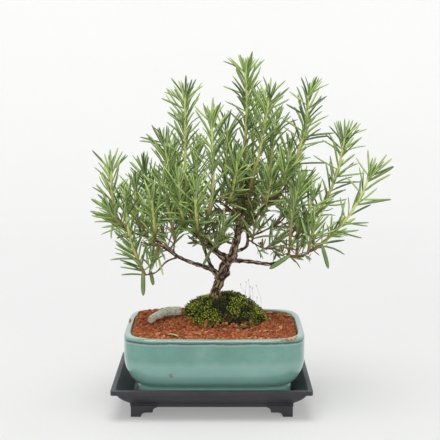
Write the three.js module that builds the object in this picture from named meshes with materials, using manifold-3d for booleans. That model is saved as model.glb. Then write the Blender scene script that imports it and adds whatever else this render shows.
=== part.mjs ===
// A rosemary grown as a small bonsai, in a glazed pot that stands in a plastic drip tray.
// Millimetres, +Z up. Everything is drawn about the middle of the tray, with the feet at height 0,
// and the whole plant is moved at the end so that its origin is the bottom centre of its box.

import * as THREE from 'three';
import { mergeVertices } from 'three/addons/utils/BufferGeometryUtils.js';
import Module from 'manifold-3d';

const wasm = await Module();
wasm.setup();

// ------------------------------------------------------------------ driving dimensions
const GAP = 0.3; // running clearance between pieces that touch
const AXIS = null; // an inset that closes a turned shape on its middle

const TRAY = { halfLength: 112, halfWidth: 83, cornerRadius: 3, rim: 35, floor: 16.5, underside: 11 };
const FOOT = { reach: 29.5, thickness: 5, front: 64.5, side: 91 };
const POT = {
  halfLength: 102.6, halfWidth: 79, power: 6.2, insidePower: 5, offset: 2.8, seat: TRAY.floor + GAP,
};
const DRAIN = { radius: 7, spread: 48, screen: 22, screenThickness: 1.2, strand: 3.2, meshHoles: 2 };
const SOIL_TOP = 78;
const MOSS = { x: 14, y: 29, base: 84, halfLength: 46, halfWidth: 40, height: 36 };
// The bent stone that lies on the gravel: x, y, z and radius of each point.
const STONE = [[-71, 4, 94.5, 3.6], [-64, 20, 96.3, 4.6], [-55, 32, 97.6, 5], [-38, 36, 98, 4.6]];
const CROWN_FLOOR = 127; // no leaf hangs lower than this
const LEAF = { length: 30, width: 3.4, thickness: 1.25, rootWidth: 1.5, rootThickness: 1.3 };
const STEM = { base: 1.4, tip: 0.95, tipShort: 15, tipShare: 0.3 };

// ------------------------------------------------------------------ the plant as it grew
// Woody branches: x, y, z and radius of each point, from where it leaves its parent.
const BRANCHES = {
  trunk: [[1, 20, 62, 4.5], [1, 20, 92, 7.2], [3, 20, 112, 6.1], [4, 20, 126, 5.7], [9, 19, 139, 5.6],
    [13, 18, 151, 6.6], [17, 17, 161, 5.7], [23, 17, 169, 5.1], [26, 17, 178, 4.4], [29, 18, 189, 4.6],
    [31, 20, 201, 4.3], [33, 22, 212, 3.9], [36, 23, 226, 3.2], [36, 24, 240, 2.7], [39, 20, 269, 1.9]],
  low_left: [[9, 18, 144, 4], [0, 14, 153, 3.1], [-10, 9, 158, 2.6], [-30, -2, 167, 2.2],
    [-48, -10, 179, 2], [-65, -17, 194, 1.8], [-80, -22, 200, 1.4], [-96, -26, 205, 1.2],
    [-105, -27, 211, 1.1]],
  droop: [[-38, -6, 172, 1.3], [-52, -14, 168, 1.1], [-64, -22, 157, 1.1], [-76, -28, 155, 1.1]],
  thin_up: [[-44, -8, 177, 1], [-43, -15, 194, 0.9]],
  back_left: [[3, 18, 147, 2.8], [-7, 29, 168, 2], [-14, 38, 189, 1.8], [-22, 45, 214, 1.5],
    [-27, 48, 226, 1.3]],
  rising_left: [[20, 16, 157, 3.2], [12, 10, 168, 2.9], [-5, 1, 184, 2.7], [-21, -4, 200, 2.3],
    [-38, -5, 211, 1.8], [-53, 1, 221, 1.2]],
  rising_left_spur: [[-20, -4, 200, 1.8], [-23, -8, 213, 1.5], [-25, -11, 226, 1.3]],
  dark_left: [[22, 16, 167, 2.4], [5, 10, 177, 1.9], [-7, -5, 196, 1.5], [-7, -14, 208, 1.3]],
  low_right: [[23, 16, 164, 3], [44, 8, 164, 2.3], [67, -3, 163, 2.2], [83, -13, 170, 1.8],
    [87, -17, 177, 1.6], [89, -20, 187, 1.4]],
  far_right: [[87, -17, 176, 1.5], [101, -22, 176, 1.3], [116, -26, 184, 1.2]],
  stub: [[27, 17, 183, 1.8], [20, 15, 185, 1.5], [14, 14, 188, 1.1]],
  bow: [[27, 17, 174, 2.2], [40, 27, 178, 1.9], [42, 31, 187, 1.8], [41, 34, 198, 1.7],
    [43, 42, 226, 1.4], [44, 46, 240, 1.3]],
  low_twig: [[41, 31, 187, 1.2], [53, 22, 181, 1], [60, 18, 178, 1], [76, 12, 178, 0.9]],
  rising_right: [[33, 20, 197, 2.2], [49, 11, 215, 1.8], [62, 4, 231, 1.7], [77, -2, 243, 1.6],
    [87, -7, 260, 1.3]],
  cross_right: [[89, -20, 186, 1.4], [101, -4, 200, 1.3], [116, 8, 209, 1.2]],
  back_right: [[41, 31, 188, 1.4], [63, 39, 196, 1.2], [84, 44, 208, 1.1], [89, 45, 216, 1]],
  crown_left: [[33, 21, 210, 2.5], [16, 9, 229, 1.9], [9, 4, 235, 1.5]],
  crown_front: [[36, 23, 227, 1.9], [40, 12, 237, 1.6], [43, 4, 247, 1.4]],
};

// Green shoots: the line of each stem, from inside the branch that carries it to its tip.
const SHOOTS = {
  far_left: [[-105, -27, 211], [-109, -28, 222], [-112, -28, 248], [-113, -28, 289]],
  drooping_left: [[-76, -28, 155], [-80, -31, 165], [-89, -33, 188], [-95, -33, 213], [-97, -32, 255]],
  broad_left: [[-80, -22, 200], [-84, -14, 214], [-87, -11, 243], [-88, -11, 270]],
  slant_left: [[-53, 1, 221], [-62, 4, 232], [-75, 6, 258], [-84, 7, 285]],
  thin_left: [[-43, -15, 194], [-46, -21, 213], [-52, -26, 243], [-62, -28, 279]],
  upper_left: [[-38, -5, 211], [-41, -2, 225], [-47, 0, 250], [-50, -1, 278], [-58, -3, 319]],
  low_shoot: [[-71, -25, 155], [-70, -14, 162], [-68, -6, 171], [-66, -1, 182]],
  low_front: [[-61, -15, 190], [-61, -26, 181], [-63, -38, 177], [-66, -47, 174]],
  outer_left: [[-96, -26, 205], [-103, -36, 216], [-114, -45, 231], [-120, -48, 243]],
  outer_left_back: [[-88, -24, 202], [-98, -8, 208], [-113, 8, 217], [-121, 13, 225]],
  left_back: [[-73, -20, 198], [-82, 0, 209], [-97, 15, 238], [-100, 17, 253]],
  tall_left: [[-25, -11, 226], [-27, -14, 239], [-30, -15, 272], [-30, -15, 306], [-30, -15, 370]],
  tall_middle: [[-7, -14, 208], [-4, -24, 225], [1, -33, 254], [1, -34, 286], [-1, -34, 345]],
  behind_left: [[-27, 48, 226], [-35, 44, 238], [-44, 41, 267], [-47, 41, 306]],
  behind_middle: [[9, 4, 235], [13, 8, 249], [16, 11, 282], [18, 11, 335]],
  tallest: [[39, 20, 269], [38, 18, 284], [39, 16, 316], [40, 16, 348], [37, 16, 399]],
  front_right: [[43, 4, 247], [46, -4, 260], [53, -12, 288], [59, -14, 320], [67, -14, 370]],
  behind_right: [[44, 46, 240], [46, 48, 258], [48, 50, 293], [52, 50, 329], [56, 50, 364]],
  right_tall: [[87, -7, 260], [91, -9, 271], [99, -10, 296], [106, -10, 326], [110, -10, 373]],
  gap_right: [[58, 6, 227], [61, 18, 240], [67, 24, 273], [72, 25, 308], [75, 25, 343]],
  inner_right: [[72, 0, 239], [79, 13, 250], [87, 22, 278], [92, 25, 310]],
  right_second: [[116, 8, 209], [122, 8, 220], [134, 6, 242], [145, 4, 272], [154, 4, 323]],
  upright_low: [[89, -20, 187], [89, -22, 201], [92, -24, 229], [101, -24, 274]],
  between_right: [[101, -4, 200], [106, -14, 215], [115, -22, 244], [118, -24, 257]],
  far_right: [[116, -26, 184], [125, -28, 192], [142, -32, 209], [159, -34, 232], [182, -36, 282]],
  right_front: [[109, -24, 179], [110, -36, 193], [116, -47, 218], [119, -49, 229]],
  right_inner: [[96, -20, 175], [98, -8, 184], [101, 8, 206], [102, 11, 217]],
  small_right: [[63, 16, 177], [69, 8, 185], [75, 3, 192], [82, 0, 198]],
  small_middle: [[47, 26, 185], [49, 18, 197], [50, 14, 209], [51, 12, 219]],
  back_right_up: [[89, 45, 216], [93, 47, 230], [96, 50, 262], [95, 50, 279]],
  small_left: [[1, 4, 179], [6, -6, 191], [15, -18, 210], [17, -20, 224]],
  front_left: [[-14, -3, 194], [-16, -24, 210], [-18, -46, 242], [-15, -51, 272]],
  front_middle: [[16, 9, 229], [21, -10, 242], [27, -30, 271], [30, -36, 300]],
  front_right_low: [[62, 4, 231], [63, -14, 240], [66, -36, 267], [67, -40, 281]],
  front_right_mid: [[77, -2, 243], [78, -20, 255], [84, -36, 281], [86, -38, 296]],
  left_front: [[-65, -17, 194], [-64, -36, 207], [-65, -58, 235], [-67, -63, 260]],
  mid_left_front: [[-29, -5, 206], [-33, -24, 219], [-36, -44, 250], [-36, -49, 279]],
  rear_left: [[-18, 42, 201], [-20, 58, 214], [-20, 73, 250], [-17, 78, 305]],
  rear_far_left: [[-22, 45, 214], [-31, 60, 224], [-46, 76, 251], [-49, 79, 268]],
  rear_middle: [[41, 34, 198], [36, 53, 209], [26, 72, 241], [24, 77, 299]],
  rear_right: [[41, 38, 212], [48, 56, 222], [64, 75, 249], [74, 80, 282]],
  rear_top: [[43, 42, 226], [41, 60, 237], [40, 75, 271], [40, 77, 290]],
  rear_far_right: [[74, 42, 201], [83, 56, 210], [103, 69, 233], [117, 73, 263]],
  rear_low_left: [[-48, -10, 179], [-54, 12, 183], [-67, 38, 200], [-76, 47, 227]],
  rear_upper_left: [[-46, -2, 216], [-54, 20, 223], [-69, 41, 246], [-74, 45, 262]],
};

// Single leaves that hang below the crown or reach out of it: the shoot that bears it, root and tip.
const SINGLE_LEAVES = [
  ['drooping_left', [-78, -30, 161], [-79, -32, 132]],
  ['low_shoot', [-70, -21, 158], [-68, -22, 142]],
  ['far_right', [124, -28, 191], [132, -30, 163]],
  ['far_right', [121, -27, 188], [150, -32, 179]],
  ['small_left', [3, 0, 184], [-7, -12, 172]],
  ['far_left', [-107, -28, 214], [-137, -32, 229]],
  ['far_left', [-110, -28, 226], [-135, -34, 243]],
  ['far_right', [161, -34, 236], [200, -36, 243]],
  ['far_right', [173, -35, 262], [203, -36, 279]],
  ['tallest', [39, 16, 367], [46, 14, 407.5]],
];

// ------------------------------------------------------------------ finishes
const finish = (color, roughness) => new THREE.MeshStandardMaterial({ color, roughness, metalness: 0 });
const plastic = finish(0x41403f, 0.6);
const glaze = finish(0x78aa9b, 0.2);
const screenPlastic = finish(0x2a2a2a, 0.7);
const earth = finish(0x3d2b20, 1);
const lava = finish(0xa5603f, 0.95);
const mossGreen = finish(0x3f5a22, 1);
const stoneGrey = finish(0x96a08c, 0.9);
const bark = finish(0x7d6250, 0.9);
const foliage = finish(0x5f8f45, 0.6);

// ------------------------------------------------------------------ solids
const point = ([x, y, z]) => new THREE.Vector3(x, y, z);

// A closed mesh as a solid: corners welded, folded triangles dropped, faces turned outward.
function solid(geometry) {
  geometry.deleteAttribute('normal');
  geometry.deleteAttribute('uv');
  const welded = mergeVertices(geometry, 1e-3);
  const corner = (i) => new THREE.Vector3().fromBufferAttribute(welded.attributes.position, i);
  const triangles = [];
  let volume = 0;
  for (let i = 0; i < welded.index.count; i += 3) {
    const [a, b, c] = welded.index.array.slice(i, i + 3);
    if (a === b || b === c || c === a) continue;
    triangles.push(a, b, c);
    volume += corner(a).dot(corner(b).cross(corner(c)));
  }
  if (volume < 0) triangles.reverse();
  return new wasm.Manifold(new wasm.Mesh({
    numProp: 3,
    vertProperties: Float32Array.from(welded.attributes.position.array),
    triVerts: Uint32Array.from(triangles),
  }));
}

function faceted(corners, triangles) {
  const geometry = new THREE.BufferGeometry().setFromPoints(corners);
  geometry.setIndex(triangles.flat());
  return solid(geometry);
}

const joined = (solids) => solids.reduce((all, next) => all.add(next));
const cut = (body, tools) => tools.reduce((left, tool) => left.subtract(tool), body);

// A shape turned about Z whose plan is not a circle: profile rows are [inset, height], and a row
// may end with a plan of its own.
function turned(profile, columns, plan) {
  const outline = profile.map(([inset]) => new THREE.Vector2(inset === AXIS ? 0 : 1, 0));
  const geometry = new THREE.LatheGeometry(outline, columns);
  const place = geometry.attributes.position;
  for (let i = 0; i < place.count; i += 1) {
    const [inset, z, rowPlan = plan] = profile[i % profile.length];
    const column = Math.floor(i / profile.length) % columns;
    const [x, y] = inset === AXIS ? [0, 0] : rowPlan(column / columns, inset);
    place.setXYZ(i, x, y, typeof z === 'function' ? z(x, y) : z);
  }
  return solid(geometry);
}

// Plans: superellipses for the pot, rounder inside, and an oblong with small round corners for the tray.
function roundedPlan(power) {
  const bulge = (value) => Math.sign(value) * Math.abs(value) ** (2 / power);
  return (turn, inset) => [
    POT.offset + (POT.halfLength - inset) * bulge(Math.cos(turn * 2 * Math.PI)),
    (POT.halfWidth - inset) * bulge(Math.sin(turn * 2 * Math.PI)),
  ];
}

const potPlan = roundedPlan(POT.power);
const potInsidePlan = roundedPlan(POT.insidePower);

const TRAY_CORNER_POINTS = 3;
const TRAY_COLUMNS = 4 * TRAY_CORNER_POINTS;
function trayPlan(turn, inset) {
  const column = Math.round(turn * TRAY_COLUMNS);
  const quarter = Math.floor(column / TRAY_CORNER_POINTS);
  const step = (column % TRAY_CORNER_POINTS) / (TRAY_CORNER_POINTS - 1);
  const angle = ((quarter + step) * Math.PI) / 2;
  const sideX = quarter === 0 || quarter === 3 ? 1 : -1;
  const sideY = quarter < 2 ? 1 : -1;
  return [
    sideX * (TRAY.halfLength - inset - TRAY.cornerRadius) + TRAY.cornerRadius * Math.cos(angle),
    sideY * (TRAY.halfWidth - inset - TRAY.cornerRadius) + TRAY.cornerRadius * Math.sin(angle),
  ];
}

// The direction square to a tangent that lies nearest to X, or to Y where the tangent runs along X.
function aside(tangent) {
  const toward = Math.abs(tangent.x) < 0.9 ? new THREE.Vector3(1, 0, 0) : new THREE.Vector3(0, 1, 0);
  return toward.addScaledVector(tangent, -toward.dot(tangent)).normalize();
}

// A round bar along a curve, closed at both ends; radiusAt gives its radius from 0 to 1.
function bar(curve, radiusAt, sides, steps) {
  const rings = [];
  let normal = aside(curve.getTangent(0));
  for (let i = 0; i <= steps; i += 1) {
    const tangent = curve.getTangent(i / steps);
    normal = normal.clone().addScaledVector(tangent, -normal.dot(tangent)).normalize();
    const across = normal.clone().cross(tangent);
    rings.push({ centre: curve.getPoint(i / steps), normal, across, radius: radiusAt(i / steps) });
  }
  const geometry = new THREE.CylinderGeometry(1, 1, 1, sides, steps);
  const place = geometry.attributes.position;
  for (let i = 0; i < place.count; i += 1) {
    const ring = rings[Math.round((place.getY(i) + 0.5) * steps)];
    const spot = ring.centre.clone()
      .addScaledVector(ring.normal, place.getX(i) * ring.radius)
      .addScaledVector(ring.across, place.getZ(i) * ring.radius);
    place.setXYZ(i, spot.x, spot.y, spot.z);
  }
  return solid(geometry);
}

// A branch from rows of x, y, z and radius, made larger all round by clearance.
function branch(rows, sides, clearance = 0) {
  const points = rows.map(point);
  const outOf = (end, next) => end.clone().sub(next).normalize().multiplyScalar(clearance);
  points[0].add(outOf(points[0], points[1]));
  points.at(-1).add(outOf(points.at(-1), points.at(-2)));
  const radiusAt = (t) => {
    const place = t * (rows.length - 1);
    const row = Math.min(Math.floor(place), rows.length - 2);
    return THREE.MathUtils.lerp(rows[row][3], rows[row + 1][3], place - row) + clearance;
  };
  const steps = Math.max(3, Math.round((rows.length - 1) * 1.3));
  return bar(new THREE.CatmullRomCurve3(points), radiusAt, sides, steps);
}

const plant = new THREE.Group();

function place(name, body, material) {
  const { vertProperties, triVerts } = body.getMesh();
  const geometry = new THREE.BufferGeometry();
  geometry.setAttribute('position', new THREE.BufferAttribute(vertProperties, 3));
  geometry.setIndex(new THREE.BufferAttribute(triVerts, 1));
  geometry.computeVertexNormals();
  const mesh = new THREE.Mesh(geometry, material);
  mesh.name = name;
  plant.add(mesh);
}

// ------------------------------------------------------------------ drip tray
// The scroll that each foot shows on its face, drawn from the corner of the tray inward.
function footFace() {
  const face = new THREE.Shape();
  const top = TRAY.underside + 2;
  face.moveTo(0, 0);
  face.lineTo(11, 0);
  face.quadraticCurveTo(12, 5, 17, 5);
  face.lineTo(24.5, 5);
  face.quadraticCurveTo(24.5, TRAY.underside - 0.5, FOOT.reach, TRAY.underside);
  face.lineTo(FOOT.reach, top);
  face.lineTo(0, top);
  face.closePath();
  return new THREE.ExtrudeGeometry(face, { depth: FOOT.thickness, bevelEnabled: false, curveSegments: 3 });
}

function foot(sideX, sideY) {
  const front = footFace().rotateX(Math.PI / 2); // face along X, thickness toward -Y
  front.scale(-sideX, -sideY, 1).translate(sideX * FOOT.side, sideY * (FOOT.front - FOOT.thickness), 0);
  const side = footFace().rotateX(Math.PI / 2).rotateZ(Math.PI / 2); // face along Y, thickness toward +X
  side.scale(sideX, -sideY, 1).translate(sideX * (FOOT.side - FOOT.thickness), sideY * FOOT.front, 0);
  return solid(front).add(solid(side));
}

function dripTray() {
  const shell = turned([
    [AXIS, TRAY.underside], [20, TRAY.underside], [20, 14.5], [18.6, 16.2], [15.5, 18.4], [11.5, 21.5],
    [7.8, 25.4], [5.4, 29.4], [4.2, 30.2], [0, 30.2], [0, TRAY.rim], [5, TRAY.rim], [7.5, 31],
    [19, TRAY.floor + 1.5], [20.5, TRAY.floor], [AXIS, TRAY.floor],
  ], TRAY_COLUMNS, trayPlan);
  const feet = [[1, 1], [-1, 1], [-1, -1], [1, -1]].map(([sideX, sideY]) => foot(sideX, sideY));
  return joined([shell, ...feet]);
}

// ------------------------------------------------------------------ pot and what is in it
const POT_COLUMNS = 36;
const POT_INSIDE = [[6.8, 91.2], [8, 88.6], [8.5, 68], [12.5, 46], [20, 31], [27, 25]]; // from the lip down
const POT_FLOOR = 25;
const POT_OUTSIDE = [ // from the foot up
  [17.5, POT.seat], [15.5, 19.5], [14.3, 24], [14.3, 31.5], [16, 33.4], [10.6, 37.5], [5, 46], [1.2, 56],
  [0, 68], [0, 89], [1.3, 91.2], [3.6, 92.2],
];
const SLIP = 1.5 * GAP; // what fills the pot stays this far off its wall

// How far in the pot's wall is at a height.
function wallInset(height) {
  const row = POT_INSIDE.findIndex(([, z]) => z < height);
  const [[inset, z], [nextInset, nextZ]] = POT_INSIDE.slice(row - 1, row + 1);
  return THREE.MathUtils.mapLinear(height, z, nextZ, inset, nextInset);
}

function drainHoles(body) {
  const drills = [-1, 1].map((side) => solid(
    new THREE.CylinderGeometry(DRAIN.radius, DRAIN.radius, 30, 12).rotateX(Math.PI / 2)
      .translate(POT.offset + side * DRAIN.spread, 0, POT_FLOOR),
  ));
  return cut(body, drills);
}

function pot() {
  const recess = POT.seat + 3.4; // the ring foot lifts the underside
  const inside = POT_INSIDE.map(([inset, z]) => [inset, z, potInsidePlan]);
  const shell = turned([
    [AXIS, recess], [24, recess], [22.5, POT.seat], ...POT_OUTSIDE, ...inside, [AXIS, POT_FLOOR],
  ], POT_COLUMNS, potPlan);
  return drainHoles(shell);
}

// A square of plastic mesh lies over each drainage hole.
function screen(side) {
  const block = (size, height) => new THREE.BoxGeometry(size, size, height);
  const hole = (DRAIN.screen - DRAIN.strand * (DRAIN.meshHoles + 1)) / DRAIN.meshHoles;
  const middle = (DRAIN.meshHoles - 1) / 2;
  const punches = [];
  for (let row = 0; row < DRAIN.meshHoles; row += 1) {
    for (let column = 0; column < DRAIN.meshHoles; column += 1) {
      const x = (column - middle) * (hole + DRAIN.strand);
      const y = (row - middle) * (hole + DRAIN.strand);
      punches.push(solid(block(hole, 4 * DRAIN.screenThickness).translate(x, y, 0)));
    }
  }
  const sheet = cut(solid(block(DRAIN.screen, DRAIN.screenThickness)), punches);
  const height = POT_FLOOR + GAP + DRAIN.screenThickness / 2;
  return sheet.translate([POT.offset + side * DRAIN.spread, 0, height]);
}

function screenClearance(side) {
  const size = DRAIN.screen + 2 * GAP;
  const box = new THREE.BoxGeometry(size, size, 2 * (DRAIN.screenThickness + 2 * GAP));
  return solid(box.translate(POT.offset + side * DRAIN.spread, 0, POT_FLOOR));
}

function soil() {
  const sides = POT_INSIDE.filter(([, z]) => z < SOIL_TOP).map(([inset, z]) => [inset + SLIP, z + GAP]);
  const top = [wallInset(SOIL_TOP) + SLIP, SOIL_TOP];
  return turned([[AXIS, SOIL_TOP], top, ...sides, [AXIS, POT_FLOOR + GAP]], POT_COLUMNS, potInsidePlan);
}

// The gravel lies low along the front and right, and is heaped toward the back and the left.
const GRAVEL_LUMP = 2.3; // how far its grains stand out of it and dip into it, at most
const GRAVEL_COLUMNS = 44;
const GRAVEL_RINGS = [9, 14, 20, 27, 34, 42, 50, 59, 69];

function heapedGravel(x, y) {
  const toBack = THREE.MathUtils.smoothstep(y, -45, 55);
  const toLeft = THREE.MathUtils.smoothstep(-x, -10, 90);
  const heap = Math.exp(-(((x + 30) / 55) ** 2) - ((y - 40) / 30) ** 2);
  return 87 + 3 * toBack + 3 * toLeft + 3.5 * heap;
}

function gravel(raised = 0) {
  const lump = (x, y) => GRAVEL_LUMP * Math.sin(1.9 * x + 0.7 * y) * Math.sin(1.3 * y - 0.9 * x);
  const lumpy = (x, y) => heapedGravel(x, y) + lump(x, y) + raised;
  const rings = GRAVEL_RINGS.map((inset) => [inset, lumpy]);
  const bottom = SOIL_TOP + GAP;
  const edge = [wallInset(bottom) + SLIP, bottom];
  const middle = [AXIS, heapedGravel(POT.offset, 0)];
  return turned([[AXIS, bottom], edge, ...rings, middle], GRAVEL_COLUMNS, potInsidePlan);
}

function mossMound() {
  const dome = new THREE.SphereGeometry(1, 20, 12).rotateX(Math.PI / 2);
  const place = dome.attributes.position;
  for (let i = 0; i < place.count; i += 1) {
    const [x, y, z] = [place.getX(i), place.getY(i), place.getZ(i)];
    const lump = 1 + 0.03 * Math.sin(7 * x + 3 * y) + 0.04 * Math.sin(5 * y - 6 * x + 2);
    place.setXYZ(
      i,
      MOSS.x + MOSS.halfLength * x * lump,
      MOSS.y + MOSS.halfWidth * y * lump,
      MOSS.base + MOSS.height * Math.max(z, 0) ** 0.8 * lump,
    );
  }
  return solid(dome);
}

function stone(clearance = 0) {
  return branch(STONE, STONE_SIDES, clearance);
}

// ------------------------------------------------------------------ leaves and shoots
// A needle leaf is a flat three-sided blade with a low ridge, widest near its middle. These are the
// corners of its section: its two edges, left and right seen from its tip, and the ridge.
function section(leaf, centre, width, thickness) {
  const along = leaf.tip.clone().sub(leaf.root).normalize();
  const upward = leaf.upward.clone().addScaledVector(along, -leaf.upward.dot(along)).normalize();
  const sideways = along.clone().cross(upward);
  return [[0.5, -0.4], [-0.5, -0.4], [0, 0.6]].map(([side, lift]) => centre.clone()
    .addScaledVector(sideways, side * width)
    .addScaledVector(upward, lift * thickness));
}

// A leaf by itself, made larger all round by clearance.
function leafSolid(leaf, clearance = 0) {
  const more = 2 * clearance;
  const beyond = leaf.tip.clone().sub(leaf.middle).normalize().multiplyScalar(clearance);
  const corners = [
    ...section(leaf, leaf.root, LEAF.rootWidth + more, LEAF.rootThickness + more),
    ...section(leaf, leaf.middle, LEAF.width + more, LEAF.thickness + more),
    leaf.tip.clone().add(beyond),
  ];
  return faceted(corners, [
    [0, 2, 1], [0, 1, 4], [0, 4, 3], [1, 2, 5], [1, 5, 4], [2, 0, 3], [2, 3, 5], [3, 4, 6], [4, 5, 6], [5, 3, 6],
  ]);
}

function boundsOf(body) {
  const { min, max } = body.boundingBox();
  return new THREE.Box3(point(min), point(max));
}

const obstacles = []; // every leaf, stem and branch so far, with the shoot that owns it

function remember(body, owner) {
  obstacles.push({ body, owner, bounds: boundsOf(body) });
}

function isClear(body, owner) {
  const bounds = boundsOf(body);
  return bounds.min.z > CROWN_FLOOR && obstacles.every((other) => other.owner === owner
    || !other.bounds.intersectsBox(bounds) || other.body.intersect(body).isEmpty());
}

// The leaf that leaves a stem at `spot`, turned `turn` about it and tilted `tilt` away from it.
function leafAt(spot, tangent, turn, tilt, length, bend) {
  const outward = aside(tangent).applyAxisAngle(tangent, turn);
  const first = tangent.clone().multiplyScalar(Math.cos(tilt)).addScaledVector(outward, Math.sin(tilt));
  const second = tangent.clone().multiplyScalar(Math.cos(tilt + bend))
    .addScaledVector(outward, Math.sin(tilt + bend));
  const middle = spot.clone().addScaledVector(first, 0.45 * length);
  return { root: spot, middle, tip: middle.clone().addScaledVector(second, 0.55 * length), upward: tangent };
}

// Pairs of leaves stand crosswise up the stem: short and close to it at the tip, spread lower down.
const TIP_PAIRS = [1, 4.5, 9]; // distance of the youngest pairs from the tip
const PAIR_SPACING = 16; // about, for those below
const BARE_BASE = 8;
const LEAF_ROOT_HEIGHT = 1.6;
const TURNS = [0, 0.25, -0.25, 0.5, -0.5, 0.75, -0.75];
const TILTS = [0, -0.25, 0.2, 0.4];

function growStem(name, rows) {
  const whole = new THREE.CatmullRomCurve3(rows.map(point));
  const end = 1 - Math.min(STEM.tipShort / whole.getLength(), STEM.tipShare);
  const steps = 2 * rows.length;
  const stops = Array.from({ length: steps + 1 }, (_, i) => whole.getPointAt((end * i) / steps));
  const curve = new THREE.CatmullRomCurve3(stops);
  const length = curve.getLength();
  const stem = bar(curve, (t) => THREE.MathUtils.lerp(STEM.base, STEM.tip, t), 4, Math.round(length / 15) + 1);
  remember(stem, name);
  const room = length - TIP_PAIRS.at(-1) - BARE_BASE;
  const count = Math.max(1, Math.round(room / PAIR_SPACING));
  const lower = Array.from({ length: count }, (_, i) => TIP_PAIRS.at(-1) + (room * (i + 1)) / count);
  const pairs = [...TIP_PAIRS, ...lower].map((fromTip) => ({ u: 1 - fromTip / length, leaves: {} }));
  return { name, curve, length, pairs, single: [] };
}

// The first of a leaf's possible places that is clear of the other shoots and of the wood.
function clearLeaf(shoot, choices) {
  const leaf = choices.find((choice) => isClear(leafSolid(choice, GAP), shoot.name));
  if (leaf) remember(leafSolid(leaf), shoot.name);
  return leaf;
}

function growPair(shoot, order) {
  const random = THREE.MathUtils.seededRandom;
  const pair = shoot.pairs[order];
  const spot = shoot.curve.getPointAt(pair.u);
  const tangent = shoot.curve.getTangentAt(pair.u);
  const youth = Math.min(order / 3, 1);
  const length = LEAF.length * (0.75 + 0.25 * youth) * (0.92 + 0.16 * random());
  const tilt = THREE.MathUtils.lerp(0.24, 0.66, youth) + 0.12 * (random() - 0.5);
  for (const face of [order % 2, (order % 2) + 2]) {
    const turn = (face + 0.5) * (Math.PI / 2) + 0.2 * (random() - 0.5);
    const bend = 0.3 + 0.3 * (random() - 0.5); // the leaf arches away from the stem
    pair.leaves[face] = clearLeaf(shoot, TURNS.flatMap((extra) => TILTS.map(
      (lean) => leafAt(spot, tangent, turn + extra, tilt + lean, length, bend),
    )));
  }
}

// A shoot is one closed mesh: a four-sided stem with a short band of faces at each pair of leaves,
// and the leaves are drawn out of those faces.
function shootSolid(shoot) {
  const corners = [];
  const triangles = [];
  const ring = (u) => {
    const tangent = shoot.curve.getTangentAt(u);
    const radius = THREE.MathUtils.lerp(STEM.base, STEM.tip, u);
    for (let k = 0; k < 4; k += 1) {
      const outward = aside(tangent).applyAxisAngle(tangent, (k * Math.PI) / 2);
      corners.push(shoot.curve.getPointAt(u).addScaledVector(outward, radius));
    }
    return corners.length - 4;
  };
  const band = (low, high, leaves) => {
    for (let k = 0; k < 4; k += 1) {
      const [a, b, c, d] = [low + k, low + ((k + 1) % 4), high + ((k + 1) % 4), high + k];
      if (leaves[k]) {
        const [left, right, ridge, tip] = [0, 1, 2, 3].map((i) => corners.length + i);
        corners.push(...section(leaves[k], leaves[k].middle, LEAF.width, LEAF.thickness), leaves[k].tip);
        triangles.push([a, b, right], [a, right, left], [b, c, ridge], [b, ridge, right], [c, d, ridge]);
        triangles.push([d, a, left], [d, left, ridge], [left, right, tip], [right, ridge, tip], [ridge, left, tip]);
      } else triangles.push([a, b, c], [a, c, d]);
    }
  };
  const bottom = ring(0);
  let below = bottom;
  const half = LEAF_ROOT_HEIGHT / 2 / shoot.length;
  for (const pair of shoot.pairs.toReversed()) {
    const [low, high] = [ring(pair.u - half), ring(Math.min(pair.u + half, 1 - 0.1 * half))];
    band(below, low, {});
    band(low, high, pair.leaves);
    below = high;
  }
  const top = below;
  triangles.push([bottom, bottom + 2, bottom + 1], [bottom, bottom + 3, bottom + 2]);
  triangles.push([top, top + 1, top + 2], [top, top + 2, top + 3]);
  return joined([faceted(corners, triangles), ...shoot.single.map((leaf) => leafSolid(leaf))]);
}

// What the wood's clearance cuts free of a shoot is dropped: its largest piece is the shoot.
function largest(body) {
  return body.decompose().sort((a, b) => b.volume() - a.volume())[0];
}

// ------------------------------------------------------------------ assembly
const BRANCH_SIDES = 5;
const STONE_SIDES = 7;
const TRUNK_SIDES = 8;
const wood = (clearance) => Object.entries(BRANCHES).map(
  ([name, rows]) => branch(rows, name === 'trunk' ? TRUNK_SIDES : BRANCH_SIDES, clearance),
);
const woodClearance = wood(GAP);
const trunkClearance = woodClearance[0];
woodClearance.forEach((body) => remember(body, 'wood'));

place('drip_tray', dripTray(), plastic);
place('pot', pot(), glaze);
place('drain_screen_left', screen(-1), screenPlastic);
place('drain_screen_right', screen(1), screenPlastic);
place('soil', cut(soil(), [screenClearance(-1), screenClearance(1), trunkClearance]), earth);
place('gravel', cut(gravel(), [stone(GAP), trunkClearance]), lava);
place('moss', largest(cut(mossMound(), [gravel(GAP), trunkClearance])), mossGreen);
place('stone', stone(), stoneGrey);
place('trunk_and_branches', joined(wood(0)), bark);

THREE.MathUtils.seededRandom(7);
const shoots = Object.entries(SHOOTS).map(([name, rows]) => growStem(name, rows));
for (const [name, root, tip] of SINGLE_LEAVES) {
  const shoot = shoots.find((one) => one.name === name);
  const middle = point(root).lerp(point(tip), 0.45);
  const upward = new THREE.Vector3(0, -1, 0.3);
  shoot.single.push(clearLeaf(shoot, [{ root: point(root), middle, tip: point(tip), upward }]));
}
const mostPairs = Math.max(...shoots.map((shoot) => shoot.pairs.length));
for (let order = 0; order < mostPairs; order += 1) {
  shoots.filter((shoot) => order < shoot.pairs.length).forEach((shoot) => growPair(shoot, order));
}
for (const shoot of shoots) {
  place(`shoot_${shoot.name}`, largest(cut(shootSolid(shoot), woodClearance)), foliage);
}

const box = new THREE.Box3().setFromObject(plant);
plant.position.set(-(box.min.x + box.max.x) / 2, -(box.min.y + box.max.y) / 2, -box.min.z);

export default plant;
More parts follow.
